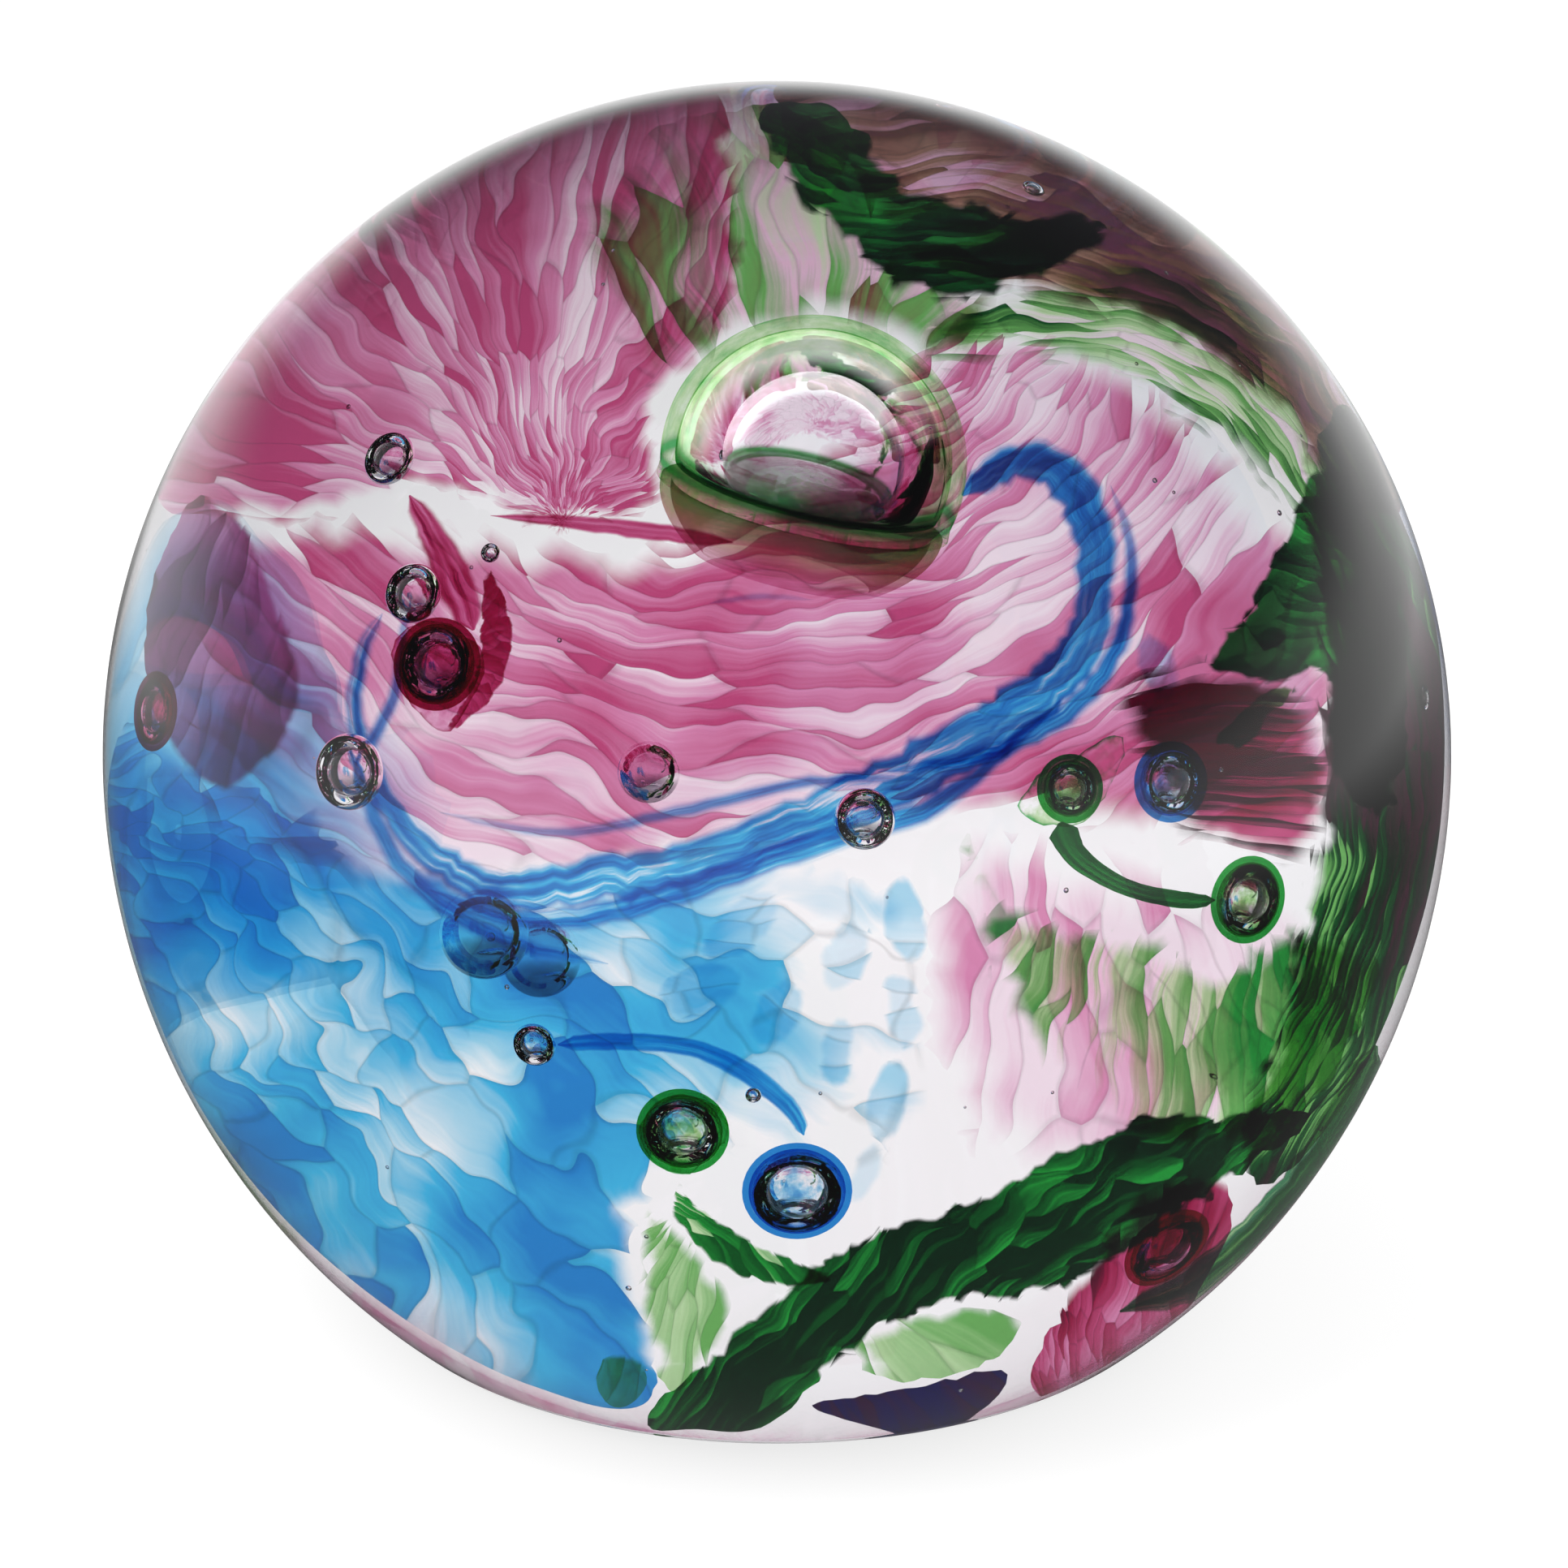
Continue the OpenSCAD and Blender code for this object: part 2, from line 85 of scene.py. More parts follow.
# Steps from the bottom of the crown bubble's round part to its top, and across its floor
CROWN_DOME_STEPS = 32
CROWN_FLOOR_STEPS = 16
# Steps of the ball's outline: across the foot, up to the belly, and from there to the top
FOOT_STEPS = 8
LOWER_STEPS = 60
UPPER_STEPS = 90
OVAL_POINTS = 14


def srgb(red, green, blue):
    """A colour given as 0 to 255 on a screen, as linear light."""
    return tuple(
        ((c / 255 + 0.055) / 1.055) ** 2.4 if c > 10 else c / 255 / 12.92 for c in (red, green, blue)
    )


# ---------- where a thing lies ----------


def seen(places, depth, turn=0.0):
    """Where things lie that are seen at places, [u, v] across and up the ball, at a depth below its surface.

    The ball's curved face bends the view. All of it is in millimetres; turn goes round the ball in degrees.
    """
    places = np.atleast_2d(np.asarray(places, float))[:, :2]
    depth = np.broadcast_to(np.asarray(depth, float), (len(places),))
    reach = EYE_FAR / math.sqrt(EYE_FAR**2 - BALL_R**2)
    eye = np.array([0.0, 0.0, EYE_FAR])
    look = np.column_stack([places * reach, np.zeros(len(places))]) - eye
    look /= np.linalg.norm(look, axis=1)[:, None]
    b = look @ eye
    near = b + np.sqrt(np.maximum(0, b * b - eye @ eye + BALL_R**2))
    entry = eye - near[:, None] * look
    face = entry / BALL_R
    c = -(look * face).sum(1)
    bend = c / DESIGN_INDEX - np.sqrt(1 - (1 - c * c) / DESIGN_INDEX**2)
    bent = look / DESIGN_INDEX + bend[:, None] * face
    g = (entry * bent).sum(1)
    inside = g * g - (entry * entry).sum(1) + (BALL_R - depth) ** 2
    q = entry - (g + np.sqrt(np.maximum(0, inside)))[:, None] * bent
    sin_e, cos_e = math.sin(LOOK_DOWN), math.cos(LOOK_DOWN)
    out = np.column_stack([q[:, 0], q[:, 1] * sin_e - q[:, 2] * cos_e, q[:, 1] * cos_e + q[:, 2] * sin_e])
    if turn:
        out = out @ np.array(Matrix.Rotation(math.radians(turn), 3, "Z")).T
    return out + BELLY


def unit(vectors):
    """Vectors scaled to length one, along the last axis."""
    vectors = np.asarray(vectors, float)
    return vectors / np.maximum(np.linalg.norm(vectors, axis=-1, keepdims=True), 1e-9)


def catmull(a, b, c, d, f):
    """A point between b and c on the smooth curve through a, b, c and d."""
    return 0.5 * (2 * b + (c - a) * f + (2 * a - 5 * b + 4 * c - d) * f**2 + (3 * b - a - 3 * c + d) * f**3)


def open_curve(points, steps):
    """A smooth open curve through points, with steps from each to the next."""
    p = np.asarray(points, float)
    last = len(p) - 1
    out = []
    for i in range(last * steps + 1):
        k = min(i // steps, last - 1)
        out.append(catmull(p[max(k - 1, 0)], p[k], p[k + 1], p[min(k + 2, last)], i / steps - k))
    return np.array(out)


def closed_curve(points, spacing):
    """A smooth closed curve through points, with its points about spacing apart."""
    p = np.asarray(points, float)
    n = len(p)
    out = []
    for i in range(n):
        a, b, c, d = p[i - 1], p[i], p[(i + 1) % n], p[(i + 2) % n]
        steps = max(2, round(np.linalg.norm(c - b) / spacing))
        out += [catmull(a, b, c, d, j / steps) for j in range(steps)]
    return np.array(out)


# ---------- meshes ----------


class Shape:
    """Points, faces and plan coordinates of one or more closed solids, in millimetres."""

    def __init__(self):
        self.points, self.faces, self.plan, self.inside = [], [], [], []

    def add(self, points, faces, plan=None, inside=None, flip=False):
        start = sum(len(p) for p in self.points)
        points = np.asarray(points, float)
        self.points.append(points)
        self.faces += [tuple(start + i for i in (reversed(f) if flip else f)) for f in faces]
        self.plan.append(np.zeros((len(points), 2)) if plan is None else np.asarray(plan, float)[:, :2])
        self.inside.append(np.ones(len(points)) if inside is None else np.asarray(inside, float))
        return self

    def build(self, name):
        """An object at the origin, with a UV map named plan and an attribute named inside."""
        mesh = bpy.data.meshes.new(name)
        mesh.from_pydata((np.vstack(self.points) * MM).tolist(), [], self.faces)
        loops = np.zeros(len(mesh.loops), int)
        mesh.loops.foreach_get("vertex_index", loops)
        plan = mesh.uv_layers.new(name="plan")
        plan.data.foreach_set("uv", np.vstack(self.plan)[loops].ravel())
        inside = mesh.attributes.new("inside", "FLOAT", "POINT")
        inside.data.foreach_set("value", np.concatenate(self.inside))
        mesh.shade_smooth()
        obj = bpy.data.objects.new(name, mesh)
        bpy.context.scene.collection.objects.link(obj)
        return obj


def ragged(edge, amount, seed):
    """Pushes a closed outline in and out by up to amount, as chipped or torn glass is."""
    ahead = np.roll(edge, -1, 0) - np.roll(edge, 1, 0)
    across = unit(np.column_stack([ahead[:, 1], -ahead[:, 0]]))
    push = [noise.noise(Vector((p[0] * 0.9, p[1] * 0.9, seed))) for p in edge]
    fine = [noise.noise(Vector((p[0] * 2.6, p[1] * 2.6, seed + 7))) for p in edge]
    room = np.clip((CALM_AT - np.linalg.norm(edge, axis=1)) / CALM_OVER, 0, 1)
    return edge + across * ((np.array(push) + 0.5 * np.array(fine)) * amount * room)[:, None]


def within(points, edge):
    """Which points lie inside a closed outline."""
    x, y = points[:, 0][:, None], points[:, 1][:, None]
    x0, y0 = edge[:, 0], edge[:, 1]
    x1, y1 = np.roll(x0, -1), np.roll(y0, -1)
    crosses = ((y0 > y) != (y1 > y)) & (x < (x1 - x0) * (y - y0) / (y1 - y0 + 1e-12) + x0)
    return crosses.sum(1) % 2 == 1


def distance_in(points, edge):
    """How far each point is from a closed outline."""
    return np.array([np.sqrt(((edge - p) ** 2).sum(1).min()) for p in points])


def add_sheet(shape, outline, depth, thick=SHEET_T, turn=0.0, step=0.9, rag=0.0, seed=0):
    """A thin sheet of glass with the outline [u, v], rolled on at depth, thinned out at its edge."""
    edge = closed_curve(outline, 0.5)
    if rag:
        edge = ragged(edge, rag, seed)
    low, high = edge.min(0), edge.max(0)
    rows = np.arange(low[1], high[1], step * 0.87)
    columns = np.arange(low[0], high[0], step)
    grid = np.array([[x + (r % 2) * step / 2, y] for r, y in enumerate(rows) for x in columns])
    grid = grid[within(grid, edge)]
    grid = grid[distance_in(grid, edge) > 0.4 * step] if len(grid) else grid
    flat = np.vstack([edge, grid]) if len(grid) else edge
    ring = [(i, (i + 1) % len(edge)) for i in range(len(edge))]
    found = geometry.delaunay_2d_cdt([Vector(p) for p in flat], ring, [], 1, 1e-6)
    flat = np.array([list(v) for v in found[0]])
    triangles = [tuple(f) for f in found[2]]
    inside = distance_in(flat, edge) + 1.2 * np.clip(np.linalg.norm(flat, axis=1) - FULL_FROM, 0, None)
    full = thick * np.clip(0.15 + inside / 1.2, 0, 1)
    top = seen(flat, depth, turn)
    under = seen(flat, depth + full, turn)
    n = len(flat)
    edges = {}
    for t in triangles:
        for i in range(3):
            edges[(t[i], t[(i + 1) % 3])] = True
    walls = [(b, a, a + n, b + n) for a, b in edges if (b, a) not in edges]
    faces = triangles + [tuple(i + n for i in reversed(t)) for t in triangles] + walls
    shape.add(np.vstack([top, under]), faces, np.vstack([flat, flat]), np.concatenate([inside, inside]))
    return shape


def add_trail(shape, route, depth, flat=0.3, rag=0.0, seed=0):
    """A drawn trail along route, [u, v, half width], with an oval section and pointed ends.

    Its edges are roughened by rag; flat is its thickness as a share of its width.
    """
    line = open_curve(route, TRAIL_STEPS)
    n, sides = len(line), TRAIL_SIDES
    ahead = np.gradient(line[:, :2], axis=0)
    across = unit(np.column_stack([-ahead[:, 1], ahead[:, 0]]))
    run = np.concatenate([[0], np.cumsum(np.linalg.norm(np.diff(line[:, :2], axis=0), axis=1))])
    half = np.maximum(line[:, 2], 0.05)
    taper = np.clip(np.minimum(np.arange(n), n - 1 - np.arange(n)) / 3, 0.12, 1)
    rough = [[noise.noise(Vector((s * 0.9, side * 9.0, seed))) for s in run] for side in (1, 2)]
    fine = [[noise.noise(Vector((s * 2.7, side * 5.0, seed + 4))) for s in run] for side in (1, 2)]
    spread = [half * taper * (1 + rag * (np.array(r) + 0.7 * np.array(f))) for r, f in zip(rough, fine)]
    left = seen(line[:, :2] + across * spread[0][:, None], depth)
    right = seen(line[:, :2] - across * spread[1][:, None], depth)
    middle = (left + right) / 2
    side = (right - left) / 2
    out = unit(middle - BELLY) * np.linalg.norm(side, axis=1)[:, None] * flat
    points, plan, inside = [], [], []
    for k in range(sides):
        w = 2 * math.pi * k / sides
        points.append(middle + side * math.cos(w) + out * math.sin(w))
        plan.append(np.column_stack([run, np.full(n, math.cos(w))]))
        inside.append(half * (1 - abs(math.cos(w))))
    points = np.stack(points, 1).reshape(-1, 3)
    plan = np.stack(plan, 1).reshape(-1, 2)
    inside = np.stack(inside, 1).reshape(-1)
    faces = [tuple(range(sides)), tuple((n - 1) * sides + k for k in reversed(range(sides)))]
    for i in range(n - 1):
        for k in range(sides):
            a, b = i * sides + k, i * sides + (k + 1) % sides
            faces.append((a, a + sides, b + sides, b))
    normal = np.cross(points[sides] - points[0], points[1] - points[0])
    flip = float(normal @ (points[0] - middle[0])) > 0
    shape.add(points, faces, plan, inside, flip=not flip)
    return shape


def turned(profile, segments, place=None):
    """A profile [r, z] turned round Z as points and faces that look outwards when z rises along it."""
    points, rings = [], []
    for r, z in profile:
        if r < 1e-6:
            rings.append([len(points)])
            points.append((0, 0, z))
        else:
            rings.append(list(range(len(points), len(points) + segments)))
            points += [
                (r * math.cos(2 * math.pi * k / segments), r * math.sin(2 * math.pi * k / segments), z)
                for k in range(segments)
            ]
    faces = []
    for a, b in zip(rings, rings[1:]):
        for k in range(segments):
            j = (k + 1) % segments
            if len(a) == 1:
                faces.append((a[0], b[j], b[k]))
            elif len(b) == 1:
                faces.append((a[k], a[j], b[0]))
            else:
                faces.append((a[k], a[j], b[j], b[k]))
    points = np.array(points)
    if place is not None:
        points = np.array([place @ Vector(p) for p in points])
    return points, faces


def round_profile(r):
    """Half the outline of a bubble of radius r, from its bottom to its top."""
    angles = [math.pi * i / BUBBLE_RINGS - math.pi / 2 for i in range(BUBBLE_RINGS + 1)]
    return [(r * math.cos(w) if 0 < i < BUBBLE_RINGS else 0, r * math.sin(w)) for i, w in enumerate(angles)]


def facing(place):
    """The matrix that puts +Z outwards through a place, +Y up the ball and +X level."""
    out = Vector(unit(place - BELLY))
    side = Vector((0, 0, 1)).cross(out).normalized()
    up = out.cross(side)
    turn = Matrix((side, up, out)).transposed().to_4x4()
    return Matrix.Translation(Vector(place)) @ turn


# ---------- node trees ----------


class Web:
    """Adds nodes to a tree and wires them up."""

    def __init__(self, tree):
        self.tree = tree

    def add(self, kind, inputs=None, **settings):
        made = self.tree.nodes.new(kind)
        for key, value in settings.items():
            setattr(made, key, value)
        for key, value in (inputs or {}).items():
            self.put(made.inputs[key], value)
        return made

    def put(self, socket, value):
        if isinstance(value, bpy.types.NodeSocket):
            self.tree.links.new(value, socket)
        else:
            socket.default_value = value

    def math(self, operation, a, b=0.0, c=0.0, clamp=False):
        made = self.add("ShaderNodeMath", {0: a, 1: b}, operation=operation, use_clamp=clamp)
        if operation in ("MULTIPLY_ADD", "COMPARE", "WRAP"):
            self.put(made.inputs[2], c)
        return made.outputs[0]

    def vector(self, operation, a, b=(0, 0, 0)):
        made = self.add("ShaderNodeVectorMath", {0: a, 1: b}, operation=operation)
        return made.outputs["Value" if operation in ("LENGTH", "DOT_PRODUCT") else "Vector"]

    def scale(self, vector, amount):
        made = self.add("ShaderNodeVectorMath", {0: vector, "Scale": amount}, operation="SCALE")
        return made.outputs["Vector"]

    def join(self, x, y, z=0.0):
        return self.add("ShaderNodeCombineXYZ", {0: x, 1: y, 2: z}).outputs[0]

    def noise(self, vector, scale, detail=2.0, rough=0.5):
        return self.add(
            "ShaderNodeTexNoise", {"Vector": vector, "Scale": scale, "Detail": detail, "Roughness": rough}
        )

    def mix(self, factor, a, b, blend="MIX"):
        made = self.add("ShaderNodeMix", data_type="RGBA", blend_type=blend)
        self.put(made.inputs["Factor"], factor)
        self.put(made.inputs[6], a)
        self.put(made.inputs[7], b)
        return made.outputs[2]

    def ramp(self, factor, stops):
        made = self.add("ShaderNodeValToRGB", {"Fac": factor})
        ends = made.color_ramp.elements
        while len(ends) < len(stops):
            ends.new(0.5)
        for end, (place, colour) in zip(ends, stops):
            end.position = place
            end.color = (*colour, 1)
        return made.outputs["Color"]

    def smooth(self, value, low, high):
        made = self.add("ShaderNodeMapRange", {"Value": value, "From Min": low, "From Max": high})
        made.interpolation_type = "SMOOTHSTEP"
        return made.outputs["Result"]


WHITE = (1.0, 1.0, 1.0, 1.0)


def shader_group(name, inputs, outputs):
    """An empty shader node group with the named sockets, and its input and output nodes."""
    tree = bpy.data.node_groups.new(name, "ShaderNodeTree")
    for label, kind, value in inputs:
        made = tree.interface.new_socket(name=label, in_out="INPUT", socket_type=kind)
        if value is not None:
            made.default_value = value
    for label, kind in outputs:
        tree.interface.new_socket(name=label, in_out="OUTPUT", socket_type=kind)
    web = Web(tree)
    return tree, web, web.add("NodeGroupInput").outputs, web.add("NodeGroupOutput").inputs


def petal_field():
    """Overlapping petals that flow out from a pole or round it, like rolled chips on a twisted gather."""
    if "Petal field" in bpy.data.node_groups:
        return bpy.data.node_groups["Petal field"]
    number, vector = "NodeSocketFloat", "NodeSocketVector"
    tree, web, given, out = shader_group(
        "Petal field",
        [
            ("Plan", vector, None),
            ("Pole", vector, None),
            ("Seam", number, 0.0),
            ("Spiral", number, 0.0),
            ("Across", number, 12.0),
            ("Along", number, 3.0),
            ("Wobble", number, 1.0),
            ("Seed", number, 0.0),
        ],
        [("Tone", number), ("Edge", number), ("Slant", number), ("Strand", number), ("Cloud", number)],
    )
    seeded = web.vector("ADD", given["Plan"], web.join(given["Seed"], given["Seed"], given["Seed"]))
    warp = web.noise(seeded, 0.11, 2.0).outputs["Color"]
    warp = web.scale(web.vector("SUBTRACT", warp, (0.5, 0.5, 0.5)), given["Wobble"])
    offset = web.vector("ADD", web.vector("SUBTRACT", given["Plan"], given["Pole"]), warp)
    spun = web.add("ShaderNodeVectorRotate", {"Vector": offset, "Angle": given["Seam"]},
                   rotation_type="Z_AXIS")
    part = web.add("ShaderNodeSeparateXYZ", {0: spun.outputs[0]}).outputs
    around = web.math("ARCTAN2", part[1], part[0])
    flat_offset = web.join(part[0], part[1], 0.0)
    outward = web.math("LOGARITHM", web.vector("LENGTH", flat_offset), math.e)
    cos_s, sin_s = web.math("COSINE", given["Spiral"]), web.math("SINE", given["Spiral"])
    across = web.math("ADD", web.math("MULTIPLY", cos_s, around), web.math("MULTIPLY", sin_s, outward))
    along = web.math("SUBTRACT", web.math("MULTIPLY", cos_s, outward), web.math("MULTIPLY", sin_s, around))
    x, y = web.math("MULTIPLY", across, given["Across"]), web.math("MULTIPLY", along, given["Along"])
    bent = web.noise(web.join(web.math("MULTIPLY", x, 0.35), y, given["Seed"]), 0.9, 1.0).outputs["Fac"]
    x = web.math("MULTIPLY_ADD", bent, 1.6, x)
    spot = web.join(x, y, given["Seed"])
    cell = web.add("ShaderNodeTexVoronoi", {"Vector": spot, "Scale": 1.0}, voronoi_dimensions="2D")
    rim = web.add("ShaderNodeTexVoronoi", {"Vector": spot, "Scale": 1.0}, voronoi_dimensions="2D",
                  feature="DISTANCE_TO_EDGE")
    from_middle = web.vector("SUBTRACT", spot, cell.outputs["Position"])
    offset_part = web.add("ShaderNodeSeparateXYZ", {0: from_middle}).outputs
    web.put(out["Tone"], web.add("ShaderNodeSeparateColor", {0: cell.outputs["Color"]}).outputs[0])
    web.put(out["Edge"], rim.outputs["Distance"])
    web.put(out["Slant"], web.math("MULTIPLY_ADD", offset_part[0], 0.7, 0.5, clamp=True))
    fibre = web.join(web.math("MULTIPLY", x, 2.6), web.math("MULTIPLY", y, 0.45), given["Seed"])
    web.put(out["Strand"], web.noise(fibre, 1.0, 3.0, 0.6).outputs["Fac"])
    web.put(out["Cloud"], web.noise(seeded, 0.07, 2.0).outputs["Fac"])
    return tree


def film(name):
    """A material for coloured glass sealed in crystal: it tints what is seen through it and bends nothing."""
    material = bpy.data.materials.new(name)
    material.use_nodes = True
    web = Web(material.node_tree)
    principled = material.node_tree.nodes["Principled BSDF"]
    principled.inputs["Transmission Weight"].default_value = 1.0
    principled.inputs["IOR"].default_value = 1.0
    principled.inputs["Roughness"].default_value = 0.0
    principled.inputs["Metallic"].default_value = 0.0
    return material, web, principled.inputs["Base Color"]


def petal_glass(name, stops, pole, seam=0.0, spiral=0.0, across=12.0, along=3.0, wobble=3.0, seed=0.0,
                fade=2.0, clear=0.0, cloud=0.9, slant=0.35, strand=0.6, line=0.82, paler=None):
    """Rolled sheet glass whose petals run from the pale to the deep end of stops.

    fade is the width over which the sheet's edge thins out, clear the share of petals left clear, cloud the
    drift of colour over the sheet, slant and strand the shading across and along each petal, and line the
    darkness of the seams between petals. paler, (slope u, slope v, start), thins the colour across the sheet.
    """
    material, web, colour = film(name)
    plan = web.add("ShaderNodeUVMap", uv_map="plan").outputs["UV"]
    field = web.add("ShaderNodeGroup", node_tree=petal_field())
    values = {"Plan": plan, "Pole": (*pole, 0.0), "Seam": math.radians(seam), "Spiral": math.radians(spiral),
              "Across": across, "Along": along, "Wobble": wobble, "Seed": seed}
    for key, value in values.items():
        web.put(field.inputs[key], value)
    made = field.outputs
    tone = web.math("MULTIPLY_ADD", made["Slant"], slant, web.math("MULTIPLY", made["Tone"], 1 - slant))
    tone = web.math("MULTIPLY_ADD", web.math("SUBTRACT", made["Strand"], 0.5), strand, tone)
    if paler:
        drop = web.vector("DOT_PRODUCT", plan, (paler[0], paler[1], 0.0))
        tone = web.math("ADD", tone, web.math("MINIMUM", web.math("ADD", drop, paler[2]), 0.0))
    tone = web.math("MULTIPLY_ADD", web.math("SUBTRACT", made["Cloud"], 0.5), cloud * 2, tone, clamp=True)
    shade = web.ramp(tone, stops)
    seam_line = web.smooth(made["Edge"], 0.0, 0.07)
    shade = web.mix(seam_line, web.mix(1.0, shade, (line, line, line, 1), "MULTIPLY"), shade)
    inside = web.add("ShaderNodeAttribute", attribute_name="inside").outputs["Fac"]
    worn = web.math("MULTIPLY_ADD", web.math("SUBTRACT", made["Tone"], 0.7), fade * 0.8, inside)
    cover = web.smooth(worn, 0.0, max(fade, 0.01))
    if clear:
        cover = web.math("MULTIPLY", cover, web.smooth(made["Tone"], clear - 0.03, clear + 0.03))
    web.put(colour, web.mix(cover, WHITE, shade))
    return material


def strand_glass(name, stops, length=0.12, across=2.4, seed=0.0, soft=0.0, contrast=1.6):
    """Drawn glass with strands along it. Its plan runs along the trail, and from -1 to 1 across it."""
    material, web, colour = film(name)
    plan = web.add("ShaderNodeUVMap", uv_map="plan").outputs["UV"]
    part = web.add("ShaderNodeSeparateXYZ", {0: plan}).outputs
    spot = web.join(web.math("MULTIPLY", part[0], length), web.math("MULTIPLY", part[1], across), seed)
    tone = web.noise(spot, 1.0, 4.0, 0.65).outputs["Fac"]
    tone = web.math("MULTIPLY_ADD", web.math("SUBTRACT", tone, 0.5), contrast, 0.5, clamp=True)
    shade = web.ramp(tone, stops)
    if soft:
        inside = web.add("ShaderNodeAttribute", attribute_name="inside").outputs["Fac"]
        shade = web.mix(web.smooth(inside, 0.0, soft), WHITE, shade)
    web.put(colour, shade)
    return material


def skin_glass(name, middle, pale, deep, seed=0.0):
    """Coloured skin round a bubble: mottled and light where seen straight through, deep at its outline."""
    material, web, colour = film(name)
    place = web.add("ShaderNodeTexCoord").outputs["Object"]
    mottle = web.noise(web.vector("ADD", place, (seed, seed, seed)), 700.0, 3.0, 0.65).outputs["Fac"]
    light = web.ramp(mottle, [(0.42, middle), (0.58, pale), (0.85, deep)])
    turned_away = web.add("ShaderNodeLayerWeight", {"Blend": 0.5}).outputs["Facing"]
    worn = web.math("MULTIPLY_ADD", web.math("SUBTRACT", mottle, 0.5), 0.5, turned_away)
    web.put(colour, web.mix(web.smooth(worn, 0.18, 0.5), light, (*deep, 1)))
    return material


def crown_glass(name):
    """Skin of the crown bubble: clear in the middle of its dome, green round it and dark at the rim."""
    material, web, colour = film(name)
    plan = web.add("ShaderNodeUVMap", uv_map="plan").outputs["UV"]
    place = web.add("ShaderNodeTexCoord").outputs["Object"]
    height = web.add("ShaderNodeAttribute", attribute_name="inside").outputs["Fac"]
    floor_spots = web.noise(web.vector("MULTIPLY", plan, (1.3, 1.3, 1.3)), 1.0, 3.0, 0.6).outputs["Fac"]
    floor = web.ramp(floor_spots, [(0.36, ROSE_WHITE), (0.46, GREEN_PALE), (0.56, ROSE_PALE),
                                   (0.66, GREEN_MID)])
    streaks = web.noise(place, 420.0, 3.0, 0.6).outputs["Fac"]
    ring = web.ramp(streaks, [(0.35, srgb(232, 246, 226)), (0.5, GREEN_PALE), (0.68, srgb(96, 190, 104))])
    turned_away = web.add("ShaderNodeLayerWeight", {"Blend": 0.5}).outputs["Facing"]
    dome = web.mix(web.smooth(turned_away, 0.25, 0.55), WHITE, ring)
    body = web.mix(web.smooth(height, 0.0, 0.2), floor, dome)
    near_rim = web.smooth(web.math("ABSOLUTE", web.math("SUBTRACT", height, 0.1)), 0.1, 0.7)
    web.put(colour, web.mix(near_rim, (*srgb(30, 130, 50), 1), body))
    return material


def skirt_glass(name):
    """Glass below the crown bubble: green by the rim, brown and plum lower down, in level strands."""
    material, web, colour = film(name)
    height = web.add("ShaderNodeAttribute", attribute_name="inside").outputs["Fac"]
    place = web.add("ShaderNodeTexCoord").outputs["Object"]
    strands = web.noise(web.vector("MULTIPLY", place, (120.0, 120.0, 1500.0)), 1.0, 3.0, 0.6).outputs["Fac"]
    tone = web.math("MULTIPLY_ADD", web.math("SUBTRACT", strands, 0.5), 1.2,
                    web.math("MULTIPLY", height, -0.33))
    web.put(colour, web.ramp(tone, [(0.0, srgb(110, 160, 100)), (0.4, srgb(178, 150, 130)),
                                    (0.75, srgb(196, 150, 160)), (1.0, ROSE_PALE)]))
    return material


def crystal_glass(name, index):
    """Clear crystal, with a faint lavender cast, fine scratches and a painted highlight glowing over the
    crown bubble's dome.
    """
    material, web, colour = film(name)
    principled = material.node_tree.nodes["Principled BSDF"]
    principled.inputs["IOR"].default_value = index
    place = web.add("ShaderNodeTexCoord").outputs["Object"]
    drift = web.noise(place, 40.0, 2.0).outputs["Fac"]
    web.put(colour, web.ramp(drift, [(0.3, (0.88, 0.87, 0.9)), (0.7, (0.93, 0.92, 0.945))]))
    scratches = web.noise(web.vector("MULTIPLY", place, (900.0, 140.0, 500.0)), 1.0, 3.0, 0.7).outputs["Fac"]
    rough = web.smooth(scratches, 0.69, 0.74)
    web.put(principled.inputs["Roughness"], web.math("MULTIPLY", rough, 0.05))
    # Painted highlight: the crystal glows where the crown's air dome turns away, standing in for the light
    # from above that is wholly reflected there
    reach = web.vector("SUBTRACT", place, tuple(CROWN_AT * MM))
    dome = web.smooth(web.vector("LENGTH", reach), (CROWN_R + 0.3) * MM, (CROWN_R + 0.2) * MM)
    high = web.smooth(web.vector("DOT_PRODUCT", reach, (-0.1, 0.2, 1.0)), 0.6 * MM, 2.4 * MM)
    turned_away = web.add("ShaderNodeLayerWeight", {"Blend": 0.5}).outputs["Facing"]
    painted_light = web.math("MULTIPLY", web.math("MULTIPLY", dome, high), web.smooth(turned_away, 0.25, 0.45))
    principled.inputs["Emission Color"].default_value = WHITE
    web.put(principled.inputs["Emission Strength"], web.math("MULTIPLY", painted_light, 0.6))
    return material


def finish_piece(obj, material, slot, *nodes):
    """Gives a piece its material, puts it on the one body and lets it stand for its CAD nodes."""
    obj.data.materials.clear()
    obj.data.materials.append(material)
    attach(obj, "root")
    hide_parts(*nodes)
    return obj


# ---------- colours ----------

ROSE_WHITE = srgb(250, 232, 242)
ROSE_PALE = srgb(238, 196, 219)
ROSE_MID = srgb(221, 140, 182)
ROSE_DEEP = srgb(192, 74, 124)
RUBY = srgb(150, 18, 66)
RUBY_DARK = srgb(84, 6, 40)
GREEN_PALE = srgb(196, 228, 176)
GREEN_MID = srgb(110, 178, 96)
GREEN_BRIGHT = srgb(34, 150, 58)
GREEN_DEEP = srgb(12, 84, 34)
GREEN_BLACK = srgb(6, 38, 20)
BROWN = srgb(122, 88, 70)
BROWN_PALE = srgb(176, 140, 120)
PURPLE = srgb(170, 80, 130)
PLUM = srgb(112, 62, 84)
PLUM_DARK = srgb(60, 24, 42)
BLUE_WHITE = srgb(226, 242, 251)
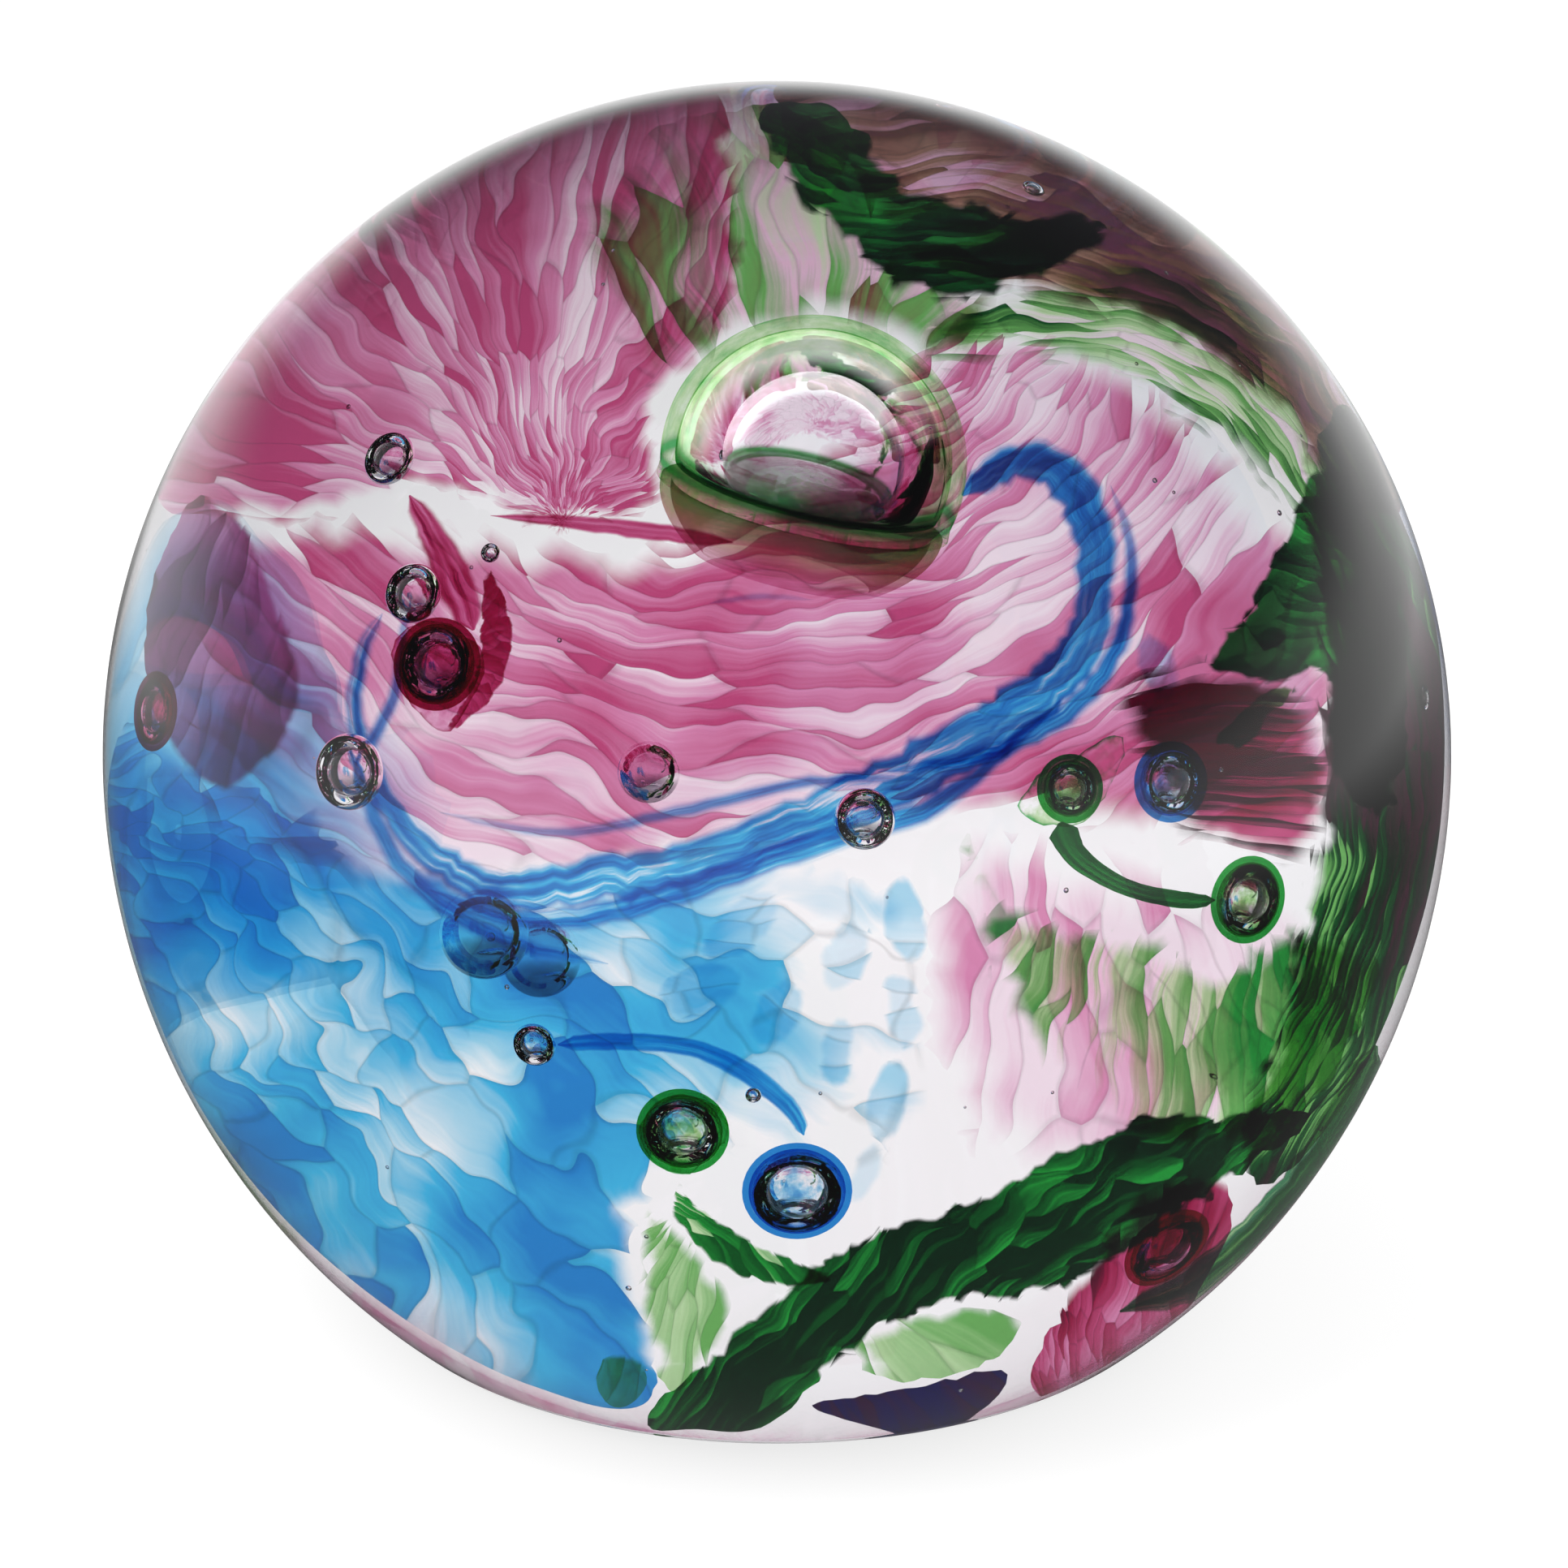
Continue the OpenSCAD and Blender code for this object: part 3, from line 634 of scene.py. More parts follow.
BLUE_PALE = srgb(170, 220, 242)
BLUE_SKY = srgb(70, 186, 232)
BLUE_MID = srgb(44, 134, 208)
BLUE_DEEP = srgb(28, 84, 170)
INDIGO = srgb(28, 24, 78)

# ---------- the design: where each thing is seen, in millimetres right of and above the middle ----------

CLEAR_BUBBLES = [
    (-23, 17.6, 6.6, 1.4), (-21.6, 9.6, 6.8, 1.5), (-25.4, -1, 7, 1.9), (5.2, -3.8, 6.8, 1.5),
    (-14.4, -17.2, 6.4, 1.1), (-17, 12, 5.8, 0.5), (15.2, 33.6, 6, 0.6), (38.4, 3.4, 5.8, 0.7),
    (-1.4, -20.2, 5.8, 0.4),
]
DEEP_BUBBLES = [(-7.6, -1, 22, 1.4), (-17.4, -10.6, 22, 2), (-14, -12, 30, 1.6)]
SKINNED_BUBBLES = {
    "ruby_bubble_skin": (-20.2, 5.4, 7.2, 1.9),
    "ruby_pod_skin": (-37, 2.6, 6.9, 1.6),
    "ruby_berry_skin": (23, -29.4, 8, 2),
    "green_bud_skin": (-5.6, -22.4, 7, 1.9),
    "green_bead_skin": (28, -8.6, 7.2, 1.8),
    "green_thorn": (17.4, -2, 7.2, 1.3),
    "blue_collar_skin": (1.2, -26, 7.6, 2.3),
    "blue_bead_skin": (23.4, -1.6, 7.2, 1.6),
}

# Thin wisps that break away from a trail: [u, v, half width]
WISPS = {
    "blue_loop": [
        [[19.8, 16, 0.3], [21, 12, 0.6], [20.4, 7, 0.8], [17.6, 2.8, 0.9], [12.4, 0, 0.8], [6, -1, 0.5]],
        [[17, 3.4, 0.5], [9.6, -2.8, 0.9], [1, -5.6, 1.1], [-8, -8.8, 1], [-15, -9.8, 0.8], [-20.6, -8, 0.5]],
        [[-22, 9, 0.4], [-22.6, 4, 0.6], [-24.4, -1, 0.7], [-22.4, -6.4, 0.8], [-17, -10.6, 0.7],
         [-10, -12.4, 0.4]],
        [[9, -1.4, 0.4], [2, -1.6, 0.6], [-6, -3.4, 0.6], [-13, -4.6, 0.5], [-20, -3.4, 0.3]],
        [[-4, 9, 0.3], [-1, 9.4, 0.35], [2.2, 9.2, 0.2]],
    ],
}
# Ears and wings of glass beside two of the skinned bubbles
GREEN_BUD_EARS = [[-8.2, -21.8], [-5.6, -20.2], [-2.8, -21.6], [-3.6, -23.4], [-5.6, -25], [-7.4, -24]]
RUBY_WINGS = [[-22.8, 6.4], [-20.4, 8], [-17.6, 6.4], [-17.8, 3.8], [-19.8, 1.4], [-21.8, 3.4]]
# Outlines of the rolled sheets: [u, v]
OUTLINES = {
    "rose_fan": [[-32.2, 23.4], [-27, 29.2], [-20.4, 34.2], [-12.8, 37.6], [-4, 39.6], [-2, 31], [-3, 25],
                 [-7, 20.4], [-7, 15], [-14, 13.4], [-20, 16], [-27, 14], [-36.6, 15]],
    "rose_sheet": [[-34, 12], [-24, 14], [-14, 13], [-5, 13], [5, 20], [10, 26], [18, 24], [25, 20], [31, 13],
                   [33.6, 5], [33, -3], [24, -5], [12, -4], [4, -5], [-8, -7], [-18, -9], [-28, -7],
                   [-35, -2]],
    "rose_veil": [[9, -6], [14, -4.4], [22, -6], [30, -8], [34, -12], [32, -19], [28, -24], [20, -26],
                  [13, -25], [10, -20], [9, -13]],
    "rear_rose_sheet": [[-30, 12], [-22, 22], [-10, 27], [6, 27], [20, 23], [29, 13], [29, 2], [18, -5],
                        [6, -1], [-8, -3], [-20, -7], [-29, 0]],
    "crown_petals": [[-11, 34], [-6, 37.6], [1, 38.4], [5, 35.6], [7, 31], [13, 27], [11, 23.4], [4, 25],
                     [-2, 24.4], [-8, 21.6], [-10, 26], [-12, 30]],
    "plum_cloud": [[0, 39.7], [11, 38.2], [19.2, 34.8], [26.4, 29.8], [32.6, 22.8], [37, 14.6], [32, 16],
                   [28, 21],
                   [22, 25], [14, 27], [7, 29], [4, 34]],
    "maroon_patch": [[20, 4.4], [26, 5.6], [32, 3.4], [33.4, -3], [31, -7], [26, -6], [22, -3]],
    "green_band": [[-1, 38.4], [0, 35], [2, 32], [6, 28.4], [11, 27], [16, 28.4], [20, 31.4], [15, 32.4],
                   [9, 33.4], [6, 36], [3, 38.4]],
    "green_arc": [[8, 24.6], [12, 27.4], [18, 29.6], [25, 28.6], [31, 24], [35, 17], [37, 10], [34, 8],
                  [30.4, 14], [26, 18.6], [20, 22], [14, 23.4], [10.4, 22.4]],
    "green_mantle": [[33.6, 20.8], [36.8, 14.6], [39, 8], [39.6, 0], [38.8, -7.6], [36.4, -15], [33, -21.4],
                     [28.6, -25.6], [27, -22], [29.6, -16], [31, -9], [32, 0], [31.6, 9], [31, 15]],
    "green_wedge": [[25.4, 5.6], [28, 9], [30, 13], [32.6, 17.4], [36, 12], [37.4, 4], [36, -4], [33, -1],
                    [32.4, 4.6], [29, 4.2]],
    "green_shard": [[26, 1], [29, 4], [31, 4], [29, 2], [28, 0.6]],
    "green_feathers": [[10.6, -4.6], [14, -8.4], [20, -10], [26, -12], [32, -9.6], [35.6, -12], [33.6, -18],
                       [29, -23], [23, -23.4], [17, -20], [13, -13]],
    "green_rope": [[-7.4, -38.6], [-4.6, -39.2], [-0.4, -39], [4, -35.4], [9, -33], [15, -32], [20, -30],
                   [25, -26.2], [31, -22.2], [31, -21], [26, -21.2], [21, -21.8], [16.6, -23.6],
                   [11.6, -26.4],
                   [7, -27.8], [2, -30.2], [-2.6, -34.4]],
    "green_leaf": [[-5.8, -25.4], [-5, -26.6], [-2, -28.6], [1, -30], [3.4, -31], [1, -31.6], [-2, -31],
                   [-4.6, -29.4], [-6.2, -27]],
    "pale_petal_left": [[-7.6, -26.6], [-5, -29], [-3, -32], [-3, -35], [-6, -37.6], [-8, -34], [-8, -30]],
    "pale_petal_right": [[5, -34.4], [9, -33], [14, -33], [13, -35.6], [8, -37], [5, -36.4]],
    "green_thorn": [[14.4, -3.4], [15.4, -1.2], [17.6, -0.2], [20, 1.2], [20.6, 0.4], [19.6, -2], [18.2, -4],
                    [16.4, -4.2]],
    "rear_green_sweep": [[-35, 14], [-31, 21], [-24, 27], [-15, 30], [-17, 25], [-25, 18], [-30, 8],
                         [-31, -4],
                         [-27, -15], [-20, -24], [-27, -21], [-33, -11], [-35.4, 0]],
    "blue_field": [[-39.7, -3], [-38.6, 2], [-37, 1], [-31, -1], [-23, -5.6], [-14, -7.6], [-6, -6.6],
                   [2, -6.6], [8, -9], [9.4, -15], [8, -22], [3, -25], [-3, -24], [-8, -27], [-7.4, -32],
                   [-7.4, -38.4], [-13.8, -37.4], [-21.4, -33.6], [-28.6, -27.8], [-34.2, -20.6], [-38, -12]],
    "rear_blue_field": [[28, -9], [30, -16], [26, -23], [18, -30], [11, -32], [13, -24], [16, -16],
                        [21, -11]],
    "indigo_shadow": [[2, -38.4], [7, -37.6], [13, -36.4], [12, -38], [7, -39.4]],
    "ruby_fold": [[-34.6, 15], [-32, 14.4], [-30, 11], [-28.4, 6], [-28.4, 2], [-31, -1.6], [-34, -2],
                  [-37, 2],
                  [-37.4, 8], [-36.4, 12]],
    "ruby_leaf": [[-17.2, 11.2], [-16, 9], [-15.6, 7], [-16.2, 4.4], [-17.6, 2.6], [-19.6, 1.4], [-18.2, 4],
                  [-17.6, 6.4], [-17.6, 9]],
    "ruby_flare": [[14.6, -37], [16.6, -33], [19, -29], [21.6, -25.6], [26, -25], [26.6, -28], [23.6, -32.4],
                   [18.6, -36.4]],
}
# Trails: [u, v, half width]
ROUTES = {
    "blue_loop": [[11, 15.4, 1], [14, 17.4, 1.3], [17, 16.6, 1.6], [18.7, 13.4, 1.5], [18.8, 9, 1.4],
                  [17.4, 5.4, 1.7], [13.6, 2.2, 1.9], [9.4, -0.4, 1.9], [3, -3.4, 1.8], [-5, -6.4, 1.7],
                  [-11, -7.4, 1.6], [-16.4, -8, 1.4], [-20.4, -6, 1.2], [-23, -3, 1], [-25, 2, 0.8],
                  [-24.6, 6, 0.7], [-23.4, 8.4, 0.4]],
    "blue_stem": [[-13, -17.2, 0.5], [-9.6, -17, 0.6], [-5, -17.4, 0.6], [-1.6, -19, 0.7], [0.8, -21, 0.6],
                  [1.6, -22.6, 0.4]],
    "green_sash": [[20, -33, 0.5], [25, -30.8, 0.9], [29.6, -27, 1.1], [33, -22.4, 1.1], [35.4, -17.4, 0.8]],
    "green_stem": [[16.8, -4, 1], [17.8, -6, 0.7], [20.6, -7.8, 0.5], [24, -8.6, 0.5], [26, -8.6, 0.3]],
    "ruby_ribbon": [[-21.8, 15.4, 0.6], [-20.4, 13, 1], [-19, 10, 1.3], [-18, 7.4, 0.9]],
    "ruby_streak": [[-17, 14.2, 0.2], [-12, 13.8, 0.5], [-7, 13.2, 0.6], [-2.6, 12.6, 0.4]],
}
# How deep each sheet and trail lies below the ball's surface
DEPTHS = {
    "rose_fan": 7.2, "rose_sheet": 9.8, "rose_veil": 12.1, "rear_rose_sheet": 12.1, "crown_petals": 8.4,
    "plum_cloud": 9.2, "maroon_patch": 11.5, "indigo_shadow": 8.6, "green_band": 6.4, "green_arc": 7.4,
    "green_mantle": 6.4, "green_wedge": 8.2, "green_shard": 9, "green_feathers": 8.4, "green_rope": 5.3,
    "green_leaf": 6.8, "rear_green_sweep": 6.9, "blue_field": 10.9, "rear_blue_field": 8.2, "ruby_fold": 9.1,
    "ruby_leaf": 7.4, "ruby_flare": 7.4, "blue_petals": 10.3, "green_pale_petals": 8, "green_sash": 8.2,
    "blue_loop": 9.3, "blue_stem": 7.9, "green_stem": 6.8, "ruby_ribbon": 8.9, "ruby_streak": 8.9,
}
# Pale oval petals: [u, v, half width, half length, lean in degrees]
BLUE_PETALS = [
    (-2, -10, 1.6, 3, -50), (-4.6, -14, 1.7, 2.8, -70), (0, -15.4, 1.6, 2.4, -30), (4, -12, 1.5, 2.6, -20),
    (7.6, -9.8, 1.3, 2.6, 10), (3.6, -17.6, 1.2, 2.2, -5), (6.6, -20.6, 1.3, 2.6, -10),
    (7.4, -15.2, 1.3, 2.4, 10), (5.2, -25, 1.2, 2.4, -20), (22.6, 5.2, 1.5, 2.6, 20),
]
CROWN_AT = seen([[2.2, 17.6]], 18.4)[0]
CROWN_R = 6.2
CROWN_FLOOR = -1.6
# How far its floor bulges up, the share of its radius that floor and rim reach, and the rim's turn in radians
CROWN_RISE = 0.8
CROWN_FLOOR_SHARE = 0.93
CROWN_RIM_SHARE = 0.965
CROWN_RIM_TURN = 0.08
CROWN_SKIN_T = 0.75
CROWN_SKIN_UNDER = 0.7
# Degrees that it leans, about X and about Y
CROWN_TIP = (-11, 14)


def oval(u, v, a, b, lean):
    """An oval outline round u, v, with half width a and half length b, leaning by lean degrees."""
    lean = math.radians(lean)
    out = []
    for i in range(OVAL_POINTS):
        w = 2 * math.pi * i / OVAL_POINTS
        x, y = a * math.cos(w), b * math.sin(w)
        out.append([u + x * math.cos(lean) - y * math.sin(lean), v + x * math.sin(lean) + y * math.cos(lean)])
    return out


def crown_frame():
    """The matrix of the crown bubble's frame."""
    x, y = (math.radians(a) for a in CROWN_TIP)
    return Matrix.Translation(Vector(CROWN_AT)) @ Matrix.Rotation(y, 4, "Y") @ Matrix.Rotation(x, 4, "X")


def sheet_piece(name, material, slot, outlines=None, **shape_settings):
    """One piece made of one or more sheets at the same depth, standing for the CAD node of its name."""
    shape = Shape()
    for outline in outlines or [OUTLINES[name]]:
        add_sheet(shape, outline, DEPTHS[name], **shape_settings)
    return finish_piece(shape.build(name), material, slot, name)


# ---------- settings ----------


def tint(name, colour, words):
    return bpy.props.FloatVectorProperty(
        name=name, description=words, default=colour, size=3, min=0, max=1, subtype="COLOR"
    )


class CrystalSettings(bpy.types.PropertyGroup):
    index: bpy.props.FloatProperty(
        name="Index", description="Refractive index of the crystal", default=1.5, min=1.3, max=1.8
    )
    around: bpy.props.IntProperty(
        name="Segments", description="Faces round the ball", default=224, min=64, max=320
    )
    seeds: bpy.props.IntProperty(
        name="Seeds", description="Number of tiny air bubbles", default=70, min=0, max=200
    )
    seed_size: bpy.props.FloatProperty(
        name="Seed size", description="Radius of the largest tiny bubble", default=0.16 * MM, min=0.02 * MM,
        max=0.4 * MM, subtype="DISTANCE", unit="LENGTH", precision=5
    )


class ColourSettings(bpy.types.PropertyGroup):
    rose: tint("Rose", ROSE_DEEP, "The deepest rose of the petals")
    green: tint("Green", GREEN_BRIGHT, "The bright green of the trails and feathers")
    blue: tint("Blue", BLUE_MID, "The blue of the loop and the stem")
    ruby: tint("Ruby", RUBY, "The ruby of the streaks and skins")


# ---------- the pieces ----------


def ball_profile():
    """The outline of the ball from the middle of the foot to its top."""
    shift = SKIRT_R - BALL_R
    foot_r = math.sqrt(SKIRT_R**2 - BELLY_Z**2) - shift
    low_angle = -math.asin(BELLY_Z / SKIRT_R) + BEVEL_TURN
    rim = (SKIRT_R * math.cos(low_angle) - shift, BELLY_Z + SKIRT_R * math.sin(low_angle))
    points = [(0, 0)] + [((foot_r - BEVEL) * i / FOOT_STEPS, 0) for i in range(1, FOOT_STEPS + 1)]
    points += [(foot_r - BEVEL * 0.45, rim[1] * 0.25), (foot_r - BEVEL * 0.05, rim[1] * 0.6)]
    for i in range(LOWER_STEPS + 1):
        w = low_angle * (1 - i / LOWER_STEPS)
        points.append((SKIRT_R * math.cos(w) - shift, BELLY_Z + SKIRT_R * math.sin(w)))
    for i in range(1, UPPER_STEPS + 1):
        w = math.pi / 2 * i / UPPER_STEPS
        points.append((BALL_R * math.cos(w) if i < UPPER_STEPS else 0, BELLY_Z + BALL_R * math.sin(w)))
    return points


def crown_void():
    """The outline of the crown bubble's air: a dome whose floor bulges up in the middle."""
    rim_w = math.asin(CROWN_FLOOR / CROWN_R)
    points = [(0, CROWN_FLOOR + CROWN_RISE)]
    for i in range(1, CROWN_FLOOR_STEPS + 1):
        f = i / CROWN_FLOOR_STEPS
        points.append((CROWN_R * CROWN_FLOOR_SHARE * i / CROWN_FLOOR_STEPS,
                       CROWN_FLOOR + CROWN_RISE * (1 - f**2)))
    points.append((CROWN_R * CROWN_RIM_SHARE, CROWN_FLOOR + 0.1))
    for i in range(CROWN_DOME_STEPS + 1):
        w = rim_w + CROWN_RIM_TURN + (math.pi / 2 - rim_w - CROWN_RIM_TURN) * i / CROWN_DOME_STEPS
        points.append((CROWN_R * math.cos(w) if i < CROWN_DOME_STEPS else 0, CROWN_R * math.sin(w)))
    return points


def seed_scatter(settings):
    """Tiny bubbles scattered between two depths, by a node tree, as points and faces in millimetres."""
    tree = bpy.data.node_groups.new("Seed scatter", "GeometryNodeTree")
    sockets = {}
    for label, kind in (("Number", "NodeSocketInt"), ("Radius", "NodeSocketFloat"),
                        ("Shell", "NodeSocketFloat")):
        sockets[label] = tree.interface.new_socket(name=label, in_out="INPUT", socket_type=kind)
    tree.interface.new_socket(name="Material", in_out="INPUT", socket_type="NodeSocketMaterial")
    tree.interface.new_socket(name="Bubbles", in_out="OUTPUT", socket_type="NodeSocketGeometry")
    web = Web(tree)
    given = web.add("NodeGroupInput").outputs
    spread = web.add("FunctionNodeRandomValue", {0: (-1, -1, -1), 1: (1, 1, 1), "Seed": 4},
                     data_type="FLOAT_VECTOR")
    outward = web.add("ShaderNodeVectorMath", {0: spread.outputs[0]}, operation="NORMALIZE").outputs[0]
    near = web.add("FunctionNodeRandomValue", {2: 0.72, 3: 0.9, "Seed": 9}, data_type="FLOAT")
    reach = web.math("MULTIPLY", near.outputs[1], given["Shell"])
    place = web.add("ShaderNodeVectorMath", {0: outward, "Scale": reach}, operation="SCALE").outputs[0]
    cloud = web.add("GeometryNodePoints", {"Count": given["Number"], "Position": place})
    ball = web.add("GeometryNodeMeshUVSphere", {"Segments": 12, "Rings": 8, "Radius": 1.0})
    size = web.add("FunctionNodeRandomValue", {2: 0.35, 3: 1.0, "Seed": 2}, data_type="FLOAT")
    radius = web.math("MULTIPLY", size.outputs[1], given["Radius"])
    copies = web.add(
        "GeometryNodeInstanceOnPoints",
        {
            "Points": cloud.outputs[0],
            "Instance": ball.outputs["Mesh"],
            "Scale": web.join(radius, radius, radius),
        },
    )
    real = web.add("GeometryNodeRealizeInstances", {0: copies.outputs[0]})
    paint = web.add("GeometryNodeSetMaterial", {"Geometry": real.outputs[0], "Material": given["Material"]})
    web.put(web.add("NodeGroupOutput").inputs[0], paint.outputs[0])
    holder = bpy.data.objects.new("seed_holder", bpy.data.meshes.new("seed_holder"))
    bpy.context.scene.collection.objects.link(holder)
    modifier = holder.modifiers.new("Seeds", "NODES")
    modifier.node_group = tree
    modifier[sockets["Number"].identifier] = settings.seeds
    modifier[sockets["Radius"].identifier] = settings.seed_size / MM
    modifier[sockets["Shell"].identifier] = BALL_R
    bpy.context.view_layer.update()
    graph = bpy.context.evaluated_depsgraph_get()
    mesh = bpy.data.meshes.new_from_object(holder.evaluated_get(graph))
    points = np.array([tuple(v.co) for v in mesh.vertices]).reshape(-1, 3) + BELLY
    faces = [tuple(p.vertices) for p in mesh.polygons]
    holder.modifiers.clear()
    bpy.data.objects.remove(holder)
    bpy.data.meshes.remove(mesh)
    return points, faces


class PAPERWEIGHT_OT_crystal(bpy.types.Operator):
    """Clear crystal ball with its ground foot, its air bubbles and its seeds"""

    bl_idname = "paperweight.crystal"
    bl_label = "Crystal"

    def execute(self, context):
        settings = context.scene.paperweight_crystal
        shape = Shape()
        shape.add(*turned(ball_profile(), settings.around))
        bubbles = CLEAR_BUBBLES + DEEP_BUBBLES + list(SKINNED_BUBBLES.values())
        for u, v, depth, r in bubbles:
            place = facing(seen([[u, v]], depth)[0])
            shape.add(*turned(round_profile(r), BUBBLE_AROUND, place), flip=True)
        shape.add(*turned(crown_void(), CROWN_VOID_AROUND, crown_frame()), flip=True)
        points, faces = seed_scatter(settings)
        shape.add(points, faces, flip=True)
        finish_piece(shape.build("crystal_ball"), crystal_glass("Clear crystal", settings.index), "crystal",
                     "outer_casing", "middle_gather", "inner_gather", "crystal_core")
        return {"FINISHED"}


class PAPERWEIGHT_OT_rose(bpy.types.Operator):
    """Rose sheets: the fan of petals, the waved sheet below it, the veil and the one round the back"""

    bl_idname = "paperweight.rose"
    bl_label = "Rose sheets"

    def execute(self, context):
        deep = tuple(context.scene.paperweight_colour.rose)
        stops = [(0.0, ROSE_WHITE), (0.2, ROSE_PALE), (0.42, ROSE_MID), (0.75, deep)]
        fan = petal_glass("Rose petals", stops, (-12.4, 14), seam=-90, across=13, along=2.6, wobble=7, seed=3,
                          fade=1.0, cloud=0.6)
        sheet_piece("rose_fan", fan, "rose_glass", rag=0.8, seed=1)
        waves = petal_glass("Rose waves",
                            [(0.1, ROSE_WHITE), (0.35, ROSE_PALE), (0.55, ROSE_MID), (0.95, deep)],
                            (3, 34), seam=90, spiral=84, across=24, along=3.6, wobble=6, seed=8, fade=2,
                            cloud=0.9)
        sheet_piece("rose_sheet", waves, "rose_glass", rag=1.0, seed=2)
        faint = [(0.1, ROSE_WHITE), (0.45, ROSE_WHITE), (0.75, ROSE_PALE), (1.0, ROSE_MID)]
        veil = petal_glass("Rose veil", faint, (20, 40), seam=90, across=20, along=7, wobble=6, seed=12,
                           fade=3)
        sheet_piece("rose_veil", veil, "rose_glass", rag=1.0, seed=4)
        rear = petal_glass("Rear rose petals", faint, (0, 4), seam=90, spiral=30, across=9, along=3, wobble=6,
                           seed=15, fade=3)
        sheet_piece("rear_rose_sheet", rear, "rose_glass", turn=180, rag=1.2, seed=3)
        return {"FINISHED"}


class PAPERWEIGHT_OT_plum(bpy.types.Operator):
    """Brown, plum and maroon glass, where rose lies over green, and two sheets of painted shadow: the plum
    sheet at the upper right and the indigo sheet at the bottom
    """

    bl_idname = "paperweight.plum"
    bl_label = "Plum sheets"

    def execute(self, context):
        lobes = petal_glass("Dome petals",
                            [(0.1, GREEN_PALE), (0.35, ROSE_PALE), (0.6, GREEN_MID), (0.9, BROWN)],
                            (3, 8), seam=-90, across=9, along=3, wobble=4, seed=21, fade=1.6, cloud=0.5)
        sheet_piece("crown_petals", lobes, "plum_glass", rag=0.9, seed=5)
        # Painted shadow: the plum_cloud sheet is brown and plum glass laid at the upper right of the ball
        # where it lies in shade
        brown = [(0.1, ROSE_PALE), (0.35, BROWN_PALE), (0.65, BROWN), (0.95, PLUM)]
        cloud = petal_glass("Plum painted shadow", brown, (10, 4), seam=-90, spiral=90, across=40, along=5, wobble=4,
                            seed=24, fade=1.2)
        sheet_piece("plum_cloud", cloud, "plum_glass", rag=0.9, seed=6)
        dense = petal_glass("Maroon glass", [(0.1, ROSE_DEEP), (0.4, PLUM_DARK), (0.9, RUBY_DARK)], (0, 0),
                            seam=180, across=50, along=3, wobble=3, seed=27, fade=1.4)
        sheet_piece("maroon_patch", dense, "maroon_glass", rag=0.7, seed=7)
        # Painted shadow: a dark indigo and plum sheet laid along the bottom of the ball where it lies in
        # shade
        shadow = petal_glass("Indigo painted shadow", [(0.2, INDIGO), (0.8, PLUM_DARK)], (0, -30), seam=90, across=12,
                             along=4, seed=29, fade=0.6)
        sheet_piece("indigo_shadow", shadow, "maroon_glass", rag=0.5, seed=8)
        return {"FINISHED"}


